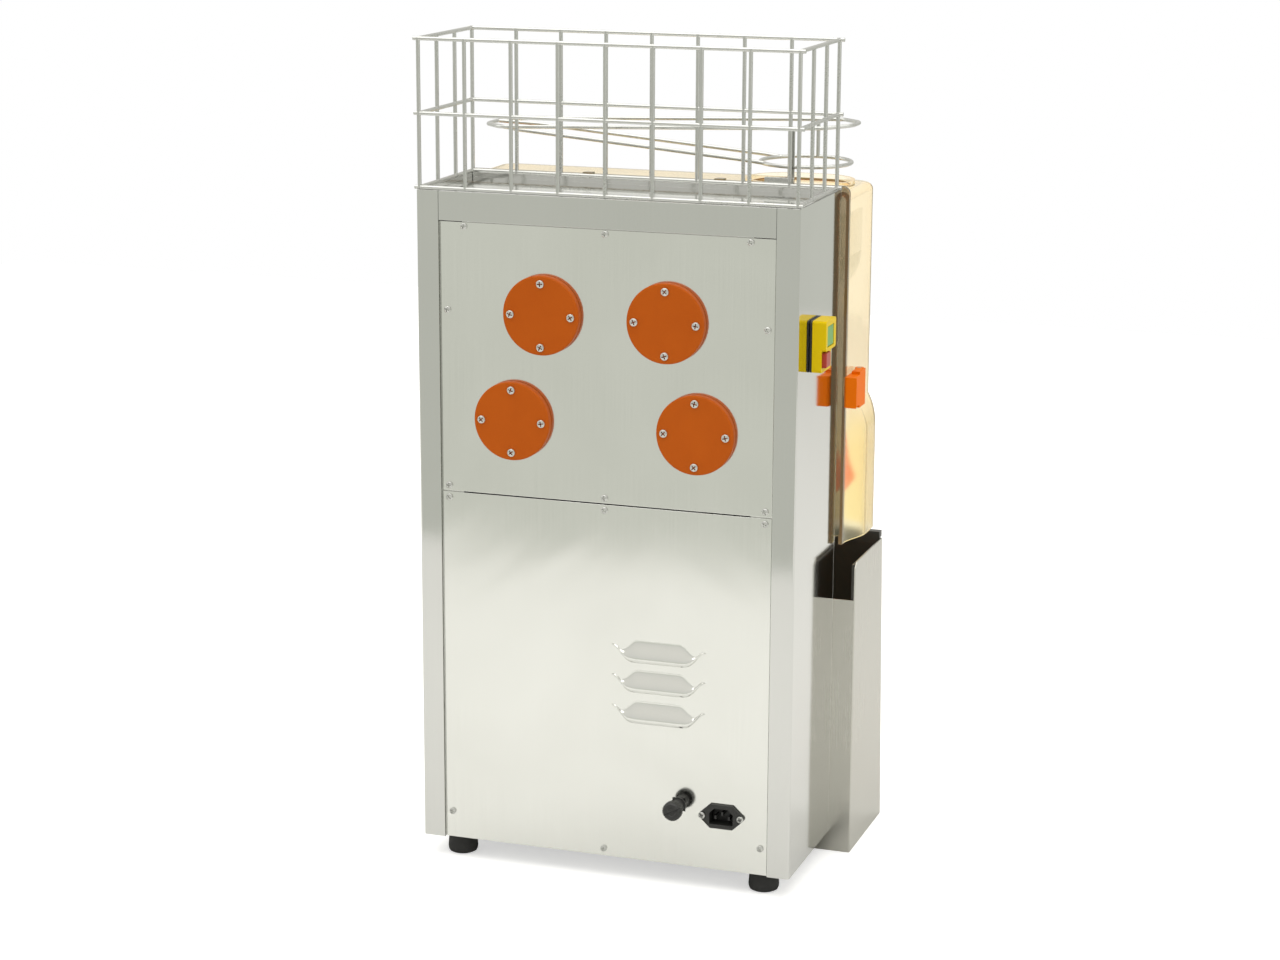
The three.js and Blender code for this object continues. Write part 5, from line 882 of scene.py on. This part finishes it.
# An oval block: a round one pulled apart in the middle
def ovalBlock(spot, halfLength, halfDepth, low, high):
    bm = bmesh.new()
    bmesh.ops.create_circle(bm, cap_ends=True, radius=halfDepth, segments=72)
    for v in bm.verts:
        v.co.x += math.copysign(halfLength - halfDepth, v.co.x) if abs(v.co.x) > 0.01 else 0
    bmesh.ops.translate(bm, verts=bm.verts, vec=(*spot, low))
    thickened(bm, bm.faces[:], (0, 0, high - low))
    return bm


def rodShape(radius, low, high, x, y):
    bm = bmesh.new()
    turned(bm, [(0, low), (radius, low), (radius, high), (0, high)], (x, y, 0), axis="z", steps=24)
    return bm


def makeCover(look, pivot):
    half, back, depth, wall = look["halfWidth"], -look["back"], look["rimDepth"], look["wall"]
    hole, bottom, top, corner = look["rimHole"], look["rimBottom"], look["top"], look["rimCorner"]
    plate = blockShape((-half, half), (back - depth, back), (bottom, look["rimTop"]), corner, 6, 1)
    opening = blockShape((-hole, hole), (back - depth - 1, back + 1), (bottom - 30, top - wall - 1), corner, 6, 1)
    rim = carved(plate, cutters=[opening])
    sizes, rise = look["mouthHalf"], look["collarRise"]
    collar = ovalBlock(look["mouth"], *(size + look["collarWall"] for size in sizes), top - wall / 2, top + rise)
    mouth = ovalBlock(look["mouth"], *sizes, top - wall - 1, top + rise + 1)
    wide, front = look["windowHalf"], -look["front"]
    window = blockShape((-wide, wide), (front - 1, front + look["corner"]), (look["bottom"] - 1, look["windowTop"]))
    added = [rim, collar]
    low, high = pivot["low"] + pivot["knuckle"] + 0.3, pivot["high"] - pivot["knuckle"] - 0.3
    thin = pivot["pin"] - 0.4                    # thinner than the boss and its pin, so that no two sides coincide
    for side in (-1, 1):
        hook = [side * look["hookX"] + out * look["hookHalf"] for out in (-1, 1)]
        root = sorted((side * (half - 1), side * pivot["x"]))
        added += [blockShape(hook, (back - 1, back + look["hookReach"]), look["hookHeights"], 0.8, 2),
                  blockShape((hook[0] + 0.5, hook[1] - 0.5), (back - depth + 0.5, back - 0.4), look["hookRoot"]),
                  blockShape(root, (pivot["y"] - thin, pivot["y"] + thin), (low + 0.4, high - 0.4)),
                  rodShape(pivot["boss"], low, high, side * pivot["x"], pivot["y"]),
                  rodShape(pivot["pin"], pivot["low"], pivot["high"], side * pivot["x"], pivot["y"])]
    shell = carved(coverSolid(look, 0), cutters=[coverSolid(look, wall)])
    whole = carved(shell, added, [mouth, window])
    finishPiece(whole, "amberCover", "amber_plastic", "front_cover", ("cover",), crease=32)


makeCover(cover, latchPivot)

print("drums")
drum = {"back": -85.0, "front": -169.0, "bore": 10.3, "recess": 24.0, "shoulder": -159.0, "edge": 2.4,
        "cupRadius": 62.5, "cup": 37.0, "core": 46.0, "ballOut": 50.0, "ball": 29.0, "flutes": 6, "fluteShare": 0.07}
pairAngle = math.atan2(shaftPlaces["lower_left"][1] - shaftPlaces["upper_left"][1],
                       shaftPlaces["lower_left"][0] - shaftPlaces["upper_left"][0])


def drumBlank(look, radius):
    bm = bmesh.new()
    back, front = look["back"], look["front"]
    edge = quarterRound(look["edge"], 4)
    outer = [(radius - inward, back - along) for inward, along in edge]
    outer += [(radius - inward, front + along) for inward, along in reversed(edge)]
    turned(bm, [(look["bore"], back), *outer, (look["recess"], front), (look["recess"], look["shoulder"]),
                (look["bore"], look["shoulder"])], (0, 0, 0), steps=96, closed=True)
    return bm


def ballShape(look, angle):
    bm = bmesh.new()
    bmesh.ops.create_uvsphere(bm, u_segments=72, v_segments=32, radius=look["ball"])
    for v in bm.verts:
        share = 1 - look["fluteShare"] * (1 - math.cos(look["flutes"] * math.atan2(v.co.y, v.co.x))) / 2
        v.co.x, v.co.y = v.co.x * share, v.co.y * share
    out, rear = Vector((math.cos(angle), 0, math.sin(angle))), Vector((0, 1, 0))
    bmesh.ops.transform(bm, verts=bm.verts, matrix=Matrix((rear, out.cross(rear), out)).transposed().to_4x4())
    bmesh.ops.translate(bm, verts=bm.verts, vec=out * look["ballOut"] + rear * (look["back"] + look["front"]) / 2)
    return bm


def cupShape(look, angle):
    bm = bmesh.new()
    bmesh.ops.create_uvsphere(bm, u_segments=64, v_segments=32, radius=look["cup"])
    out, middle = look["cupRadius"], (look["back"] + look["front"]) / 2
    bmesh.ops.translate(bm, verts=bm.verts, vec=(out * math.cos(angle), middle, out * math.sin(angle)))
    return bm


def thirds(first):
    return [first + 2 * math.pi * i / 3 for i in range(3)]


# The lead angles put each ball in a cup of the drum above it where the two meet
def makeDrums(look):
    ballLead = 2 * (pairAngle + 2 * math.pi) - math.pi
    leads = {"upper_left": 0.0, "upper_right": math.pi, "lower_left": ballLead, "lower_right": math.pi - ballLead}
    for spot, (x, z) in shaftPlaces.items():
        row, hand = spot.split("_")
        if row == "upper":
            bm = carved(drumBlank(look, look["cupRadius"]), cutters=[cupShape(look, a) for a in thirds(leads[spot])])
            node = "cup_drum_" + hand
        else:
            bm = carved(drumBlank(look, look["core"]), [ballShape(look, a) for a in thirds(leads[spot])])
            node = "ball_drum_" + hand
        bmesh.ops.translate(bm, verts=bm.verts, vec=(x, 0, z))
        finishPiece(bm, pieceName(node), nodeSlots[node], nodeBodies[node], (node,), crease=38)


makeDrums(drum)

nut = {"radius": 20.0, "front": -173.0, "back": -159.3, "lobes": 6, "lobeShare": 0.07, "edge": 1.4, "bore": 6.3,
       "boreEnds": (-167.3, -158.3)}


def makeHandNuts(look):
    bore, (deep, mouth) = look["bore"], look["boreEnds"]
    for spot, (x, z) in shaftPlaces.items():
        bm = bmesh.new()
        bmesh.ops.create_circle(bm, cap_ends=True, radius=look["radius"], segments=96)
        thickened(bm, bm.faces[:], (0, 0, look["back"] - look["front"]))
        roundEdges(bm, [e for e in bm.edges if e.calc_face_angle(0) > 1], look["edge"], 3)
        for v in bm.verts:
            share = 1 - look["lobeShare"] * (1 - math.cos(look["lobes"] * math.atan2(v.co.y, v.co.x)))
            v.co.x, v.co.y = v.co.x * share, v.co.y * share
        bmesh.ops.rotate(bm, verts=bm.verts, cent=(0, 0, 0), matrix=Matrix.Rotation(math.pi / 2, 3, "X"))
        bmesh.ops.translate(bm, verts=bm.verts, vec=(x, look["back"], z))
        hole = bmesh.new()
        turned(hole, [(0, deep), (bore, deep), (bore, mouth), (0, mouth)], (x, 0, z), steps=32)
        node = "hand_nut_" + spot
        finishPiece(carved(bm, cutters=[hole]), pieceName(node), nodeSlots[node], nodeBodies[node], (node,), crease=40)


makeHandNuts(nut)

print("folded and moulded pieces")
postFold = {"length": 500.0, "width": 7.0, "behind": 40.0, "radius": 2.2, "sheet": 1.5}
railFold = {"length": 250.0, "width": 6.0, "behind": -90.0, "radius": 1.6, "sheet": 1.2}
binFold = {"length": 180.0, "width": 8.0, "behind": -210.0, "radius": 1.0, "sheet": 1.5}
for hand in ("left", "right"):
    softened("side_panel_" + hand, edge=0.12, folds=postFold)
    softened("bin_" + hand, edge=0.3, folds=binFold, finish="bin_steel")
    softened("bin_liner_" + hand, edge=0.8, finish="liner_plastic")
    softened("latch_" + hand, edge=0.9, segments=3)
    softened("peel_ejector_" + hand, edge=0.8)
softened("top_panel", edge=0.25, folds=railFold)
softened("power_inlet", edge=0.5, ears={"x": inletScrew["x"], "beyond": 23.0, "radius": 3.6})
brokenEdges = {"switch_base": 0.5, "switch_housing": 1.0, "start_button": 1.2, "stop_button": 1.2,
               "fuse_holder": 0.4, "valve_handle": 1.2, "juice_tray": 0.28, "strainer": 0.3, "drip_tray": 0.4,
               "drip_grid": 0.5, "knife_holder": 0.8, "gearbox": 2.0, "motor": 0.7, "bearing_plate": 0.8,
               "base_plate": 0.6}
for node, edge in brokenEdges.items():
    softened(node, edge=edge, segments=3)
